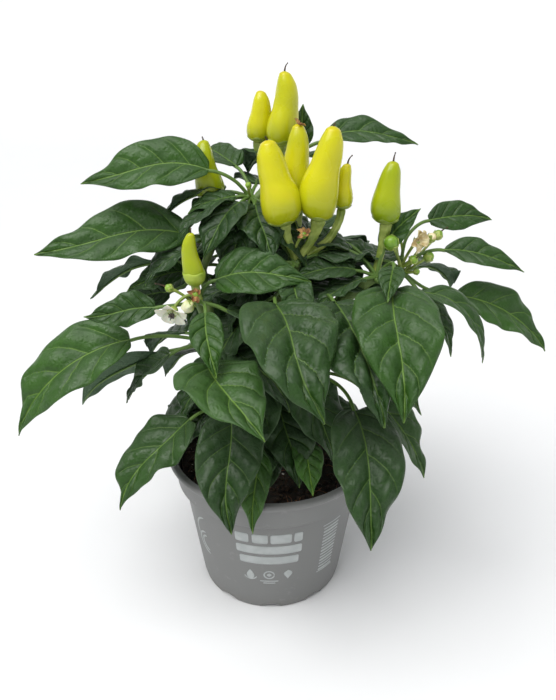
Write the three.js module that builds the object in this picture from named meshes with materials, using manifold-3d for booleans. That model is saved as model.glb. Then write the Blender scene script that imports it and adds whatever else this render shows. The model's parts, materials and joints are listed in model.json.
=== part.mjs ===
// A potted ornamental pepper plant: a plastic nursery pot of soil, one branching stem,
// upright peppers, small flowers and fruitlets, and broad drooping leaves.
// Millimetres, +Z up. The origin is the centre of the pot's flat underside, and the front is -Y.
// A bearing is a compass turn in degrees: 0 points along +X, 90 along +Y (the back).
// A slope is the angle above the horizontal, in degrees.

import * as THREE from "three";
import { mergeVertices } from "three/addons/utils/BufferGeometryUtils.js";
import Module from "manifold-3d";

const wasm = await Module();
wasm.setup();

// Pot
const POT_HEIGHT = 95;
const RIM_RADIUS = 65;
const STEP_HEIGHT = 73;
const STEP_RADIUS = 56;
const STEP_OUT = 2;
const BASE_RADIUS = 46;
const POT_WALL = 1.8;
const POT_FLOOR = 2.5;
const BASE_CHAMFER = 1.5;
const INNER_ROUND = 0.5;
const LIP_HEIGHT = 5;
const LIP_OUT = 3.5;
const LIP_WIDTH = 3.6;
const LIP_ROUND = 1.2;
const POT_SIDES = 40;
const NOTCH_COUNT = 10;
const NOTCH_RADIUS = 9;
const NOTCH_DROP = 5.5;
const NOTCH_DEPTH = 12;
const NOTCH_SIDES = 18;

// Soil
const SOIL_TOP = 81;
const SOIL_CROWN = 84;
const STEM_PIT_RADIUS = 6.5;
const STEM_PIT_FLOOR = 72;
const SOIL_GAP = 0.5;

// Neighbouring pieces stay this far apart.
const TOUCH_GAP = 0.35;

// Stem
const STEM_SIDES = 7;
const KNOT_SWELL = 1.2;

// Leaves
const PETIOLE_RADIUS = 1.1;
const MIDRIB_THICKNESS = 1.5;
const TIP_THICKNESS = 0.8;
const BLADE_FOLD = 16;
const BLADE_STATIONS = [0.06, 0.18, 0.34, 0.5, 0.66, 0.82, 0.94];
const PETIOLE_STATIONS = [0, 0.5, 0.92];

// Peppers, buds and fruitlets
const FRUIT_SIDES = 8;
const STALK_RADIUS = 1.6;
const STALK_STATIONS = [0, 0.5, 0.9];
const BUD_SIDES = 7;
const BUD_STALK_RADIUS = 0.8;

// Open flower
const PETALS = 5;
const PETAL_LENGTH = 9;
const PETAL_WIDTH = 5.5;
const PETAL_THICKNESS = 1.2;
const PETAL_INSET = 0.6;
const CUP_LENGTH = 4;
const CUP_PROFILE = [[0.1, 2], [0.5, 2.6], [0.9, 2.2]];

const radians = THREE.MathUtils.degToRad;

function material(color, roughness) {
  return new THREE.MeshStandardMaterial({ color, roughness, metalness: 0 });
}

const finishes = {
  pot: material(0x80827f, 0.6),
  soil: material(0x2a1d15, 0.95),
  stem: material(0x5c6b38, 0.6),
  leaf: material(0x36552f, 0.45),
  pepper: material(0xd6d83a, 0.25),
  lime: material(0xa9c41f, 0.3),
  fruitlet: material(0x6f9a35, 0.35),
  petal: material(0xf0ecd2, 0.6),
  withered: material(0xb08a55, 0.8),
};

// The stem's knots: place and radius.
const knots = {
  root: [0, 0, 76, 5.2],
  collar: [0, 0, 96, 4.8],
  low: [-2, -3, 118, 4.6],
  middle: [1, -1, 138, 4.4],
  fork: [3, 0, 158, 4.2],
  left: [-32, -12, 170, 3.2],
  leftFront: [-37, -30, 202, 2.2],
  leftBack: [-40, 18, 204, 2.4],
  leftTop: [-31, 14, 224, 2.4],
  centre: [8, -2, 196, 3.6],
  peppers: [15, -6, 218, 3],
  upperLeft: [-9, 14, 244, 2.6],
  top: [6, 20, 262, 2.6],
  right: [34, -2, 186, 3.2],
  rightFork: [58, -4, 206, 2.8],
  rightTip: [74, 5, 208, 2.2],
  back: [6, 34, 182, 3.2],
  backLeft: [-20, 54, 200, 2.4],
  backRight: [34, 50, 204, 2.4],
};

const branches = [
  ["root", "collar"], ["collar", "low"], ["low", "middle"], ["middle", "fork"],
  ["fork", "left"], ["left", "leftFront"], ["left", "leftBack"], ["leftBack", "leftTop"],
  ["fork", "centre"], ["centre", "peppers"], ["centre", "upperLeft"], ["upperLeft", "top"],
  ["fork", "right"], ["right", "rightFork"], ["rightFork", "rightTip"],
  ["fork", "back"], ["back", "backLeft"], ["back", "backRight"],
];

// Leaves: the knot; the petiole's bearing, slope and length; the blade's bearing, its slopes at
// base and tip, its length and width, its roll (positive turns its face to its own right) and
// how far its bearing turns on the way to the tip.
const leaves = [
  // upper left
  ["upper_left", "upperLeft", [195, 60, 27], [182, 12, -26, 72, 33, -45, 0]],
  ["long_left", "leftTop", [200, 10, 8], [188, 8, -14, 90, 38, -38, 0]],
  ["behind_upper_left", "upperLeft", [120, 62, 22], [128, 20, -5, 40, 24, -10, 0]],
  ["twisted_left", "leftBack", [170, 18, 18], [166, -5, -50, 62, 26, 20, 0]],
  ["dark_left", "leftBack", [200, -45, 22], [165, -20, 0, 34, 22, -60, 0]],
  // front left
  ["small_left", "leftFront", [175, -10, 20], [186, -5, -8, 38, 20, -45, 0]],
  ["drooping_left", "left", [195, 22, 42], [195, -5, -66, 88, 42, -30, 0]],
  ["edge_left", "left", [180, -10, 28], [168, -20, -50, 72, 26, 45, 0]],
  ["sideways_left", "leftFront", [74, 56, 12], [-6, 20, -14, 52, 32, 40, 0]],
  ["narrow_front", "leftFront", [-60, 14, 12], [-88, -20, -55, 38, 18, 0, 20]],
  ["bright_front", "left", [-103, 11, 34], [-75, 4, -28, 63, 44, 0, 30]],
  // low left
  ["low_left", "low", [205, 37, 50], [220, -15, -62, 64, 34, -10, 0]],
  ["low_left_back", "middle", [195, 10, 36], [185, -25, -70, 44, 34, 0, 0]],
  ["low_front_left", "middle", [-130, 37, 50], [-98, -28, -66, 64, 37, 0, 20]],
  ["low_front_narrow", "middle", [-100, -9, 42], [-98, -38, -66, 47, 20, 10, 0]],
  ["low_front_dark", "collar", [-75, 25, 26], [-105, 10, -50, 36, 20, -10, 0]],
  // centre
  ["big_front", "centre", [-105, 26, 42], [-86, 0, -54, 74, 49, 0, 38]],
  ["behind_front", "peppers", [-112, -15, 18], [-80, -12, -45, 32, 19, 0, 0]],
  ["under_peppers", "upperLeft", [-75, 30, 9], [-110, -45, -70, 34, 16, 0, 0]],
  ["left_of_peppers", "leftBack", [250, 15, 12], [190, -5, -28, 34, 20, -30, 0]],
  ["upright_right", "top", [28, 5, 17], [80, 60, 75, 24, 14, 0, 0]],
  ["high_right", "top", [-10, 44, 22], [6, 20, -20, 56, 22, 35, 0]],
  // right
  ["quilted_right", "right", [-108, 56, 36], [-74, -5, -58, 76, 48, 0, 8]],
  ["right_front", "rightFork", [-71, 24, 30], [-94, -8, -62, 76, 45, 0, 8]],
  ["small_right_front", "rightFork", [-50, 55, 30], [-105, -5, -40, 26, 14, 0, 0]],
  ["arched_right", "rightFork", [-28, -25, 22], [-15, 5, -88, 60, 22, 10, 0]],
  ["far_right", "rightTip", [5, -45, 34], [-2, -5, -55, 70, 30, 40, 0]],
  ["thin_right", "rightTip", [15, 45, 24], [-5, 0, -25, 48, 20, 35, 0]],
  ["folded_right", "rightTip", [82, 74, 34], [14, 10, -12, 40, 20, 50, 0]],
  ["behind_peppers", "rightFork", [130, 60, 26], [165, 10, -10, 32, 18, -20, 0]],
  // low right
  ["low_right_big", "middle", [-24, 35, 72], [-80, -18, -72, 72, 40, 0, 0]],
  ["low_right_side", "middle", [-2, 28, 54], [-45, -15, -74, 64, 30, 0, 10]],
  ["low_front_bright", "low", [-48, 26, 34], [-72, -30, -60, 32, 20, -10, 0]],
  ["low_right_back", "middle", [16, 20, 52], [-12, -10, -60, 46, 24, 20, 0]],
  // back
  ["back_left_high", "backLeft", [160, 20, 14], [150, 5, -50, 60, 36, 0, 0]],
  ["back_high", "backRight", [110, 40, 16], [95, 10, -50, 68, 40, 0, 0]],
  ["back_right", "backRight", [30, -10, 14], [40, -10, -60, 58, 36, 0, 0]],
  ["back_low_left", "middle", [140, 25, 44], [140, -10, -60, 68, 40, 0, 0]],
  ["back_low", "fork", [110, -10, 46], [95, -15, -65, 72, 44, 0, 0]],
  ["back_low_right", "middle", [50, 25, 46], [45, -10, -62, 70, 40, 0, 0]],
];

// Peppers: the knot; the stalk's bearing, slope and length; the fruit's bearing, slope, length
// and greatest radius.
const peppers = [
  ["top", "top", [110, 70, 8], [10, 87, 38, 8.6]],
  ["top_left", "top", [122, -14, 23], [165, 94, 27, 7.2]],
  ["top_back", "top", [88, 20, 27], [88, 96, 22, 5]],
  ["front_left", "peppers", [228, 55, 18], [180, 79, 44, 10.8]],
  ["middle", "peppers", [90, 55, 25], [90, 87, 42, 8.6]],
  ["front_right", "peppers", [-20, 50, 21], [-10, 82, 48, 10.4]],
  ["small_right", "peppers", [15, 15, 34], [15, 84, 24, 5.5]],
  ["right", "rightFork", [25, 76, 27], [0, 87, 33, 8]],
  ["left", "leftTop", [80, 55, 15], [150, 82, 36, 8.2]],
  ["small_left", "leftFront", [165, 78, 6], [180, 88, 28, 5.4]],
];

const UNRIPE = ["left", "right", "small_left"];

function direction(bearing, slope) {
  const b = radians(bearing);
  const s = radians(slope);
  return new THREE.Vector3(Math.cos(b) * Math.cos(s), Math.sin(b) * Math.cos(s), Math.sin(s));
}

// A closed body through rings of equal length. Each end is a single point or a flat cap.
function loft(rings, startPoint, endPoint) {
  const count = rings[0].length;
  const vertices = rings.flat();
  const faces = [];
  for (let ring = 0; ring + 1 < rings.length; ring += 1) {
    for (let i = 0; i < count; i += 1) {
      const next = (i + 1) % count;
      const [a, b] = [ring * count + i, ring * count + next];
      const [c, d] = [a + count, b + count];
      faces.push([a, d, b], [a, c, d]);
    }
  }
  closeEnd(vertices, faces, 0, count, startPoint, true);
  closeEnd(vertices, faces, (rings.length - 1) * count, count, endPoint, false);
  const geometry = new THREE.BufferGeometry().setFromPoints(vertices);
  geometry.setIndex(faces.flat());
  return geometry;
}

function closeEnd(vertices, faces, first, count, point, flip) {
  const apex = vertices.length;
  if (point) vertices.push(point);
  for (let i = point ? 0 : 1; i < (point ? count : count - 1); i += 1) {
    const hub = point ? apex : first;
    const pair = [first + i, first + ((i + 1) % count)];
    faces.push(flip ? [hub, pair[0], pair[1]] : [hub, pair[1], pair[0]]);
  }
}

// A walk from a knot: positions and directions along a path whose bearing and slope turn
// evenly over each leg. Each leg is [length, bearing0, bearing1, slope0, slope1].
function walk(start, legs) {
  const stepsPerLeg = 30;
  const place = start.clone();
  const stations = legs.map(([length, bearing0, bearing1, slope0, slope1]) => {
    const trail = [];
    for (let i = 0; i <= stepsPerLeg; i += 1) {
      const t = i / stepsPerLeg;
      const bearing = THREE.MathUtils.lerp(bearing0, bearing1, t);
      const slope = THREE.MathUtils.lerp(slope0, slope1, t);
      if (i > 0) place.addScaledVector(direction(bearing, slope), length / stepsPerLeg);
      trail.push({ place: place.clone(), bearing, slope });
    }
    return trail;
  });
  return (leg, t) => stations[leg][Math.round(t * stepsPerLeg)];
}

// The place on a knot's surface from which a stalk leaves it.
function leavingPlace(knotName, bearing, slope, stalkRadius) {
  const [x, y, z, radius] = knots[knotName];
  const clear = radius * KNOT_SWELL + stalkRadius * 0.25 + TOUCH_GAP;
  return new THREE.Vector3(x, y, z).addScaledVector(direction(bearing, slope), clear);
}

// The right-hand side and the upper side of a path that has been rolled about itself.
function sides(bearing, slope, roll) {
  const along = direction(bearing, slope);
  const right = direction(bearing - 90, 0);
  const up = new THREE.Vector3().crossVectors(right, along);
  const turned = right.clone().multiplyScalar(Math.cos(radians(roll)));
  turned.addScaledVector(up, -Math.sin(radians(roll)));
  return { right: turned, up: new THREE.Vector3().crossVectors(turned, along) };
}

// Half the blade's width at a fraction of its length, as a fraction of its greatest half width.
function bladeOutline(t) {
  return Math.sin(Math.PI * t ** 0.68) ** 0.85 * (1 - 0.25 * t * t);
}

function leafRing(place, { right, up }, halfWidth, thickness, fold) {
  const spread = halfWidth * Math.cos(radians(fold));
  const lift = halfWidth * Math.sin(radians(fold));
  const edge = (side) => place.clone().addScaledVector(right, side * spread).addScaledVector(up, lift);
  const top = place.clone().addScaledVector(up, thickness / 2);
  const bottom = place.clone().addScaledVector(up, -thickness / 2);
  return [edge(1), top, edge(-1), bottom];
}

function leafGeometry(knotName, petiole, blade) {
  const [bearing, rise, petioleLength] = petiole;
  const [heading, slope0, slope1, length, width, roll, turn] = blade;
  const start = leavingPlace(knotName, bearing, rise, PETIOLE_RADIUS);
  const at = walk(start, [
    [petioleLength, bearing, heading, rise, slope0],
    [length, heading, heading + turn, slope0, slope1],
  ]);
  const rings = PETIOLE_STATIONS.map((t) => {
    const { place, bearing: b, slope } = at(0, t);
    return leafRing(place, sides(b, slope, roll * t), PETIOLE_RADIUS, 2 * PETIOLE_RADIUS, 0);
  });
  for (const t of BLADE_STATIONS) {
    const { place, bearing: b, slope } = at(1, t);
    const thickness = THREE.MathUtils.lerp(MIDRIB_THICKNESS, TIP_THICKNESS, t);
    rings.push(leafRing(place, sides(b, slope, roll), bladeOutline(t) * width / 2, thickness, BLADE_FOLD));
  }
  return loft(rings, null, at(1, 1).place);
}

// A ring of points round a path.
function roundRing(place, bearing, slope, radius, count) {
  const { right, up } = sides(bearing, slope, 0);
  return Array.from({ length: count }, (_, i) => {
    const angle = (2 * Math.PI * i) / count;
    return place.clone()
      .addScaledVector(right, radius * Math.cos(angle))
      .addScaledVector(up, radius * Math.sin(angle));
  });
}

// A fruit, bud or fruitlet on its stalk. The profile holds [fraction of the fruit's length, radius].
function fruitGeometry(knotName, stalk, fruit, profile, stalkRadius, count) {
  const [bearing, rise, stalkLength] = stalk;
  const [heading, slope, length] = fruit;
  const at = walk(leavingPlace(knotName, bearing, rise, stalkRadius), [
    [stalkLength, bearing, heading, rise, slope],
    [length, heading, heading, slope, slope],
  ]);
  const ring = ({ place, bearing: b, slope: s }, radius) => roundRing(place, b, s, radius, count);
  const rings = STALK_STATIONS.map((t) => ring(at(0, t), stalkRadius));
  profile.forEach(([t, radius]) => rings.push(ring(at(1, t), radius)));
  return loft(rings, null, at(1, 1).place);
}

const PEPPER_PROFILE = [
  [0, 0.42], [0.06, 0.76], [0.15, 0.96], [0.26, 1], [0.42, 0.93], [0.58, 0.82],
  [0.74, 0.69], [0.87, 0.56], [0.96, 0.36],
];
const BALL_PROFILE = [[0.06, 0.5], [0.24, 0.86], [0.5, 1], [0.76, 0.86], [0.94, 0.5]];

function scaledProfile(profile, radius) {
  return profile.map(([t, fraction]) => [t, fraction * radius]);
}

function pepperGeometry(knotName, stalk, fruit) {
  const profile = scaledProfile(PEPPER_PROFILE, fruit[3]);
  return fruitGeometry(knotName, stalk, fruit, profile, STALK_RADIUS, FRUIT_SIDES);
}

function ballGeometry(knotName, stalk, fruit) {
  const profile = scaledProfile(BALL_PROFILE, fruit[3]);
  return fruitGeometry(knotName, stalk, fruit, profile, BUD_STALK_RADIUS, BUD_SIDES);
}

// manifold-3d joins and cuts closed meshes.
function solid(geometry) {
  const bare = geometry.index ? geometry.clone() : geometry;
  bare.deleteAttribute("normal");
  bare.deleteAttribute("uv");
  const merged = mergeVertices(bare, 1e-4);
  return new wasm.Manifold(new wasm.Mesh({
    numProp: 3,
    vertProperties: new Float32Array(merged.attributes.position.array),
    triVerts: new Uint32Array(merged.index.array),
  }));
}

function geometryOf(manifold) {
  const mesh = manifold.getMesh();
  const geometry = new THREE.BufferGeometry();
  geometry.setAttribute("position", new THREE.BufferAttribute(mesh.vertProperties, 3));
  geometry.setIndex(new THREE.BufferAttribute(mesh.triVerts, 1));
  return geometry;
}

// Lathe profiles run from the axis at the bottom, round the outside, and back to the axis.
function lathe(points, segments) {
  const profile = points.map(([x, y]) => new THREE.Vector2(x, y));
  return new THREE.LatheGeometry(profile, segments).rotateX(Math.PI / 2);
}

function potGeometry() {
  const band = STEP_RADIUS + STEP_OUT;
  const innerBase = BASE_RADIUS - POT_WALL - INNER_ROUND;
  const lipInside = RIM_RADIUS - LIP_WIDTH;
  let pot = solid(lathe([
    [0, 0],
    [BASE_RADIUS - BASE_CHAMFER, 0],
    [BASE_RADIUS, BASE_CHAMFER],
    [STEP_RADIUS, STEP_HEIGHT],
    [band, STEP_HEIGHT + 1],
    [RIM_RADIUS - LIP_OUT, POT_HEIGHT - LIP_HEIGHT],
    [RIM_RADIUS, POT_HEIGHT - LIP_HEIGHT + LIP_ROUND],
    [RIM_RADIUS, POT_HEIGHT - LIP_ROUND],
    [RIM_RADIUS - LIP_ROUND, POT_HEIGHT],
    [lipInside, POT_HEIGHT - LIP_ROUND / 2],
    [band - POT_WALL, STEP_HEIGHT + 2],
    [STEP_RADIUS - POT_WALL, STEP_HEIGHT - 1],
    [innerBase, POT_FLOOR],
    [0, POT_FLOOR],
  ], POT_SIDES));
  for (let i = 0; i < NOTCH_COUNT; i += 1) {
    const cutter = new THREE.CylinderGeometry(NOTCH_RADIUS, NOTCH_RADIUS, NOTCH_DEPTH, NOTCH_SIDES);
    cutter.rotateZ(Math.PI / 2);
    cutter.translate(BASE_RADIUS, 0, -NOTCH_DROP);
    cutter.rotateZ((2 * Math.PI * (i + 0.5)) / NOTCH_COUNT);
    pot = pot.subtract(solid(cutter));
  }
  return geometryOf(pot);
}

// The soil's side follows the pot's inside, a gap away from it.
function soilGeometry() {
  const innerBase = BASE_RADIUS - POT_WALL - INNER_ROUND - SOIL_GAP;
  const band = STEP_RADIUS + STEP_OUT - POT_WALL - SOIL_GAP;
  const lip = RIM_RADIUS - LIP_WIDTH - SOIL_GAP;
  const climb = (SOIL_TOP - STEP_HEIGHT - 2) / (POT_HEIGHT - LIP_ROUND / 2 - STEP_HEIGHT - 2);
  const topRadius = THREE.MathUtils.lerp(band, lip, climb);
  return lathe([
    [0, POT_FLOOR + SOIL_GAP],
    [innerBase - 1, POT_FLOOR + SOIL_GAP],
    [STEP_RADIUS - POT_WALL - SOIL_GAP, STEP_HEIGHT - 1],
    [band, STEP_HEIGHT + 2.4],
    [topRadius - 0.1, SOIL_TOP - 1.5],
    [topRadius - 4, SOIL_TOP],
    [topRadius / 2, SOIL_CROWN - 1],
    [STEM_PIT_RADIUS + 3, SOIL_CROWN],
    [STEM_PIT_RADIUS, SOIL_CROWN - 1],
    [STEM_PIT_RADIUS, STEM_PIT_FLOOR],
    [0, STEM_PIT_FLOOR],
  ], POT_SIDES);
}

// A tapered branch between two knots.
function branchGeometry([x0, y0, z0, radius0], [x1, y1, z1, radius1]) {
  const from = new THREE.Vector3(x0, y0, z0);
  const to = new THREE.Vector3(x1, y1, z1);
  const branch = new THREE.CylinderGeometry(radius1, radius0, from.distanceTo(to), STEM_SIDES);
  const along = to.clone().sub(from).normalize();
  branch.applyQuaternion(new THREE.Quaternion().setFromUnitVectors(new THREE.Vector3(0, 1, 0), along));
  return branch.translate(...from.add(to).multiplyScalar(0.5));
}

function stemGeometry() {
  let stem = null;
  const join = (geometry) => {
    stem = stem ? stem.add(solid(geometry)) : solid(geometry);
  };
  branches.forEach(([from, to]) => join(branchGeometry(knots[from], knots[to])));
  for (const [name, [x, y, z, radius]] of Object.entries(knots)) {
    if (name === "root") continue;
    join(new THREE.IcosahedronGeometry(radius * KNOT_SWELL, 0).translate(x, y, z));
  }
  return geometryOf(stem);
}

// An open flower that nods: a stalk, a small cup, and a flat star of petals facing along the stalk.
function flowerGeometry(knotName, stalk, face) {
  const [bearing, rise, stalkLength] = stalk;
  const [heading, slope] = face;
  const cup = [heading, slope, CUP_LENGTH];
  let flower = solid(fruitGeometry(knotName, stalk, cup, CUP_PROFILE, BUD_STALK_RADIUS, BUD_SIDES));
  const at = walk(leavingPlace(knotName, bearing, rise, BUD_STALK_RADIUS), [
    [stalkLength, bearing, heading, rise, slope],
    [CUP_LENGTH, heading, heading, slope, slope],
  ]);
  const middle = at(1, 0.6).place;
  const upward = new THREE.Vector3(0, 0, 1);
  const facing = new THREE.Quaternion().setFromUnitVectors(upward, direction(heading, slope));
  for (let i = 0; i < PETALS; i += 1) {
    const petal = new THREE.SphereGeometry(1, 6, 4);
    petal.scale(PETAL_LENGTH / 2, PETAL_WIDTH / 2, PETAL_THICKNESS / 2);
    petal.translate(PETAL_LENGTH / 2 - PETAL_INSET, 0, 0);
    petal.rotateZ((2 * Math.PI * i) / PETALS);
    petal.applyQuaternion(facing).translate(middle.x, middle.y, middle.z);
    flower = flower.add(solid(petal));
  }
  return geometryOf(flower);
}

const plant = new THREE.Group();

function add(name, geometry, finish) {
  const mesh = new THREE.Mesh(geometry, finish);
  mesh.name = name;
  plant.add(mesh);
}

add("pot", potGeometry(), finishes.pot);
add("soil", soilGeometry(), finishes.soil);
add("stem", stemGeometry(), finishes.stem);
for (const [name, knot, petiole, blade] of leaves) {
  add(`leaf_${name}`, leafGeometry(knot, petiole, blade), finishes.leaf);
}
for (const [name, knot, stalk, fruit] of peppers) {
  const finish = UNRIPE.includes(name) ? finishes.lime : finishes.pepper;
  add(`pepper_${name}`, pepperGeometry(knot, stalk, fruit), finish);
}
add("flower_open", flowerGeometry("leftFront", [195, 20, 14], [215, -40]), finishes.petal);
add("bud_cream", ballGeometry("leftFront", [-110, 30, 7], [-110, -10, 6, 3.2]), finishes.petal);
add("flower_withered", ballGeometry("rightTip", [-20, 72, 14], [-20, 60, 7, 3.4]), finishes.withered);
add("fruitlet_left", ballGeometry("leftTop", [5, 50, 8], [5, 80, 6, 3.2]), finishes.fruitlet);
add("fruitlet_right", ballGeometry("rightTip", [190, 75, 14], [180, 80, 6.5, 3.4]), finishes.fruitlet);
add("fruitlet_right_low", ballGeometry("rightTip", [-50, 45, 6], [-50, 40, 5, 2.6]), finishes.fruitlet);

export default plant;
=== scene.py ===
"""A potted ornamental pepper plant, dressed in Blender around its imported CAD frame.

Everything is in metres. Each CAD leaf and fruit is a plain loft: this script reads its rings back
from the frame, and grows a finely shaped leaf or fruit along the same path, at the same size.
"""

import json
import math
import random

import bmesh
import bpy
import numpy as np
from mathutils import Matrix, Vector, noise


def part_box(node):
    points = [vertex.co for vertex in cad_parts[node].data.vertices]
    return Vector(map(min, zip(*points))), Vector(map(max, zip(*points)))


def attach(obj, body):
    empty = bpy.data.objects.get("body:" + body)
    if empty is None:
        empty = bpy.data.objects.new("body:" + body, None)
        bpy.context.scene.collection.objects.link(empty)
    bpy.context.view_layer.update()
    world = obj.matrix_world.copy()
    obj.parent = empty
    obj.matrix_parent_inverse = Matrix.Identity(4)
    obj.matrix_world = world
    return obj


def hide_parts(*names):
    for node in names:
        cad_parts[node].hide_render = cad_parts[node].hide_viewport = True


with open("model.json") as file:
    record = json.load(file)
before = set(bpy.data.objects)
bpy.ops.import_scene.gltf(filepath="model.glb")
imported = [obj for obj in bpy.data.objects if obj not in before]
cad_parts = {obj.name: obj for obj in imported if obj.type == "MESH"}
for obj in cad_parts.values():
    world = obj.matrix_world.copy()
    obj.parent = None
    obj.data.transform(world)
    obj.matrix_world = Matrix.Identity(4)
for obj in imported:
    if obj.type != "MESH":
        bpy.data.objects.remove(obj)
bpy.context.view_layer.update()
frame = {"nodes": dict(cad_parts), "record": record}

BODY = "root"
MM = 0.001

# How the CAD lofts are made up, counted from the stalk.
LEAF_RING = 4
FRUIT_RING = 8
BUD_RING = 7
STALK_RINGS = 3

# Leaf shape. The outline is the blade's half width on its way from base to tip.
LEAF_ROWS = 64
LEAF_COLUMNS = 24
LEAF_THICKNESS = 0.4 * MM
VEIN_PAIRS = 5
QUILT_HEIGHT = 0.085
MARGIN_WAVE = 0.085
BASE_LOBE = 0.07
PETIOLE_RADIUS = 1.0 * MM
OUTLINE_PLACES = (0, 0.025, 0.07, 0.14, 0.24, 0.35, 0.5, 0.65, 0.79, 0.89, 0.96, 1)
BROAD_OUTLINE = (0.03, 0.31, 0.58, 0.82, 0.97, 1.0, 0.93, 0.72, 0.42, 0.2, 0.08, 0.01)
SLIM_OUTLINE = (0.03, 0.18, 0.4, 0.68, 0.92, 1.0, 0.94, 0.73, 0.44, 0.22, 0.09, 0.01)

# Fruit shape. The cap's teeth are a share of its depth.
FRUIT_SIDES = 56
FRUIT_ROWS = 72
CALYX_SIDES = 60
CALYX_DEPTH = 3.8 * MM
CALYX_TOOTH = 0.38
PEDICEL_RADIUS = 2.0 * MM
STALK_RIDGE = 0.09

# Stalks of all kinds start this far inside the stem, and a tube's end bulges by a share of its radius.
STALK_INSET = 2.5 * MM
END_BULGE = 0.6

# Flowers
PETALS = 5
PETAL_THICKNESS = 0.14 * MM
CUP_SIDES = 30

# Stem skin: the remesh's grain, and how far its surface stands out and ripples
STEM_VOXEL = 0.7 * MM
STEM_PROUD = 0.18 * MM
STEM_RIPPLE = 0.28 * MM

# Pot, in shares of the CAD pot's greatest radius and its height
POT_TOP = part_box("pot")[1]
POT_RIM = POT_TOP.x
POT_BASE = 0.708 * POT_RIM
POT_STEP = 0.86 * POT_RIM
POT_STEP_HEIGHT = 0.77 * POT_TOP.z
POT_SIDES = 160
POT_WALL = 1.5 * MM
POT_FLOOR = 2.5 * MM
NOTCH_COUNT = 10
NOTCH_RADIUS = 9 * MM
NOTCH_DROP = 5.5 * MM

# Soil: how far it keeps inside the CAD soil, its clods' scales and heights in millimetres, the mound
# in its middle, and how much lies scattered on it
SOIL_SINK = 1.5 * MM
SOIL_GAP = 0.3 * MM
SOIL_SIDES = 140
SOIL_RINGS = 46
SOIL_CLODS = ((210, 1.6), (520, 1.0), (60, 1.4))
SOIL_MOUND = 1.2
CRUMB_COUNT = 900
PERLITE_SHARE = 0.05
FIBRE_COUNT = 110

# Studio: the floor's flat radius and the bend up to its wall in metres, and the lights
FLOOR_FLAT = 3.0
FLOOR_BEND = 2.0
SKY_STRENGTH = 0.38
OVERHEAD_STRENGTH = 2.5
OVERHEAD_SPREAD = 55

# Fineness of the grain in the mottled materials
GRAIN_SCALE = 600

# Camera: where it stands, how far it looks down, and its lens and sensor in millimetres
CAMERA_PLACE = (4.5 * MM, -354 * MM, 330 * MM)
CAMERA_DOWN = 25.7
CAMERA_LENS = 34
CAMERA_SENSOR = 36


# ---------------------------------------------------------------- helpers

def hermite(knots, values, where):
    """A smooth curve through values at knots, read at each place in where."""
    knots = np.asarray(knots, float)
    values = np.asarray(values, float)
    slopes = np.gradient(values, knots, axis=0)
    where = np.clip(np.asarray(where, float), knots[0], knots[-1])
    i = np.clip(np.searchsorted(knots, where) - 1, 0, len(knots) - 2)
    width = knots[i + 1] - knots[i]
    t = (where - knots[i]) / width
    if values.ndim > 1:
        t = t[:, None]
        width = width[:, None]
    a = (1 + 2 * t) * (1 - t) ** 2 * values[i] + t * (1 - t) ** 2 * width * slopes[i]
    b = t * t * (3 - 2 * t) * values[i + 1] + t * t * (t - 1) * width * slopes[i + 1]
    return a + b


def unit(vectors):
    return vectors / np.maximum(np.linalg.norm(vectors, axis=-1, keepdims=True), 1e-12)


def lengths_along(points):
    steps = np.linalg.norm(np.diff(points, axis=0), axis=1)
    return np.concatenate([[0], np.cumsum(steps)])


def wave(phases, values):
    """A slow smooth wobble, from a few sines with given phases."""
    return sum(np.sin((k + 1.7) * values + phase) / (k + 1) for k, phase in enumerate(phases))


def make_object(name, vertices, faces, material, slot, replaces=()):
    mesh = bpy.data.meshes.new(name)
    mesh.from_pydata([tuple(v) for v in vertices], [], [tuple(f) for f in faces])
    mesh.validate()
    mesh.shade_smooth()
    mesh.materials.append(material)
    piece = bpy.data.objects.new(name, mesh)
    bpy.context.scene.collection.objects.link(piece)
    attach(piece, BODY)
    if replaces:
        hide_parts(*replaces)
    return piece


def vertex_values(piece, name, values):
    layer = piece.data.attributes.new(name, "FLOAT", "POINT")
    layer.data.foreach_set("value", np.asarray(values, np.float32))


def from_inside(stalk):
    """A stalk's first place, moved back under the stem's skin."""
    return stalk[0] - unit(stalk[1] - stalk[0]) * STALK_INSET


def frames_along(points):
    """Tangents and steady side vectors for a tube along points."""
    tangents = unit(np.gradient(points, axis=0))
    side = np.cross(tangents[0], (0.31, 0.17, 0.94))
    sides = []
    for tangent in tangents:
        side = side - tangent * side.dot(tangent)
        side = side / np.linalg.norm(side)
        sides.append(side)
    sides = np.array(sides)
    return tangents, sides, np.cross(tangents, sides)


def round_ring(right, up, angles):
    """Unit rings at angles, one for each pair of side vectors, or one ring for a single pair."""
    if right.ndim == 1:
        return right * np.cos(angles)[:, None] + up * np.sin(angles)[:, None]
    return right[:, None] * np.cos(angles)[None, :, None] + up[:, None] * np.sin(angles)[None, :, None]


def sides_of(axis):
    """Two unit vectors square to an axis and to each other."""
    right = unit(np.cross(axis, (0.23, 0.61, 0.4)))
    return right, np.cross(axis, right)


def full_turn(count):
    return np.linspace(0, 2 * np.pi, count, endpoint=False)


def tube(points, radii, sides=12, ridge=0.0):
    """A closed tube, with five ridges if asked: vertices and faces. Each end closes on a point."""
    points = np.asarray(points, float)
    radii = np.broadcast_to(np.asarray(radii, float), (len(points),))
    tangents, right, up = frames_along(points)
    angles = full_turn(sides)
    reach = radii[:, None] * (1 + ridge * np.cos(5 * angles))[None]
    body = points[:, None] + round_ring(right, up, angles) * reach[..., None]
    start = points[0] - tangents[0] * radii[0] * END_BULGE
    end = points[-1] + tangents[-1] * radii[-1] * END_BULGE
    vertices = np.vstack([body.reshape(-1, 3), start, end])
    return vertices, tube_faces(len(points), sides)


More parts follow.
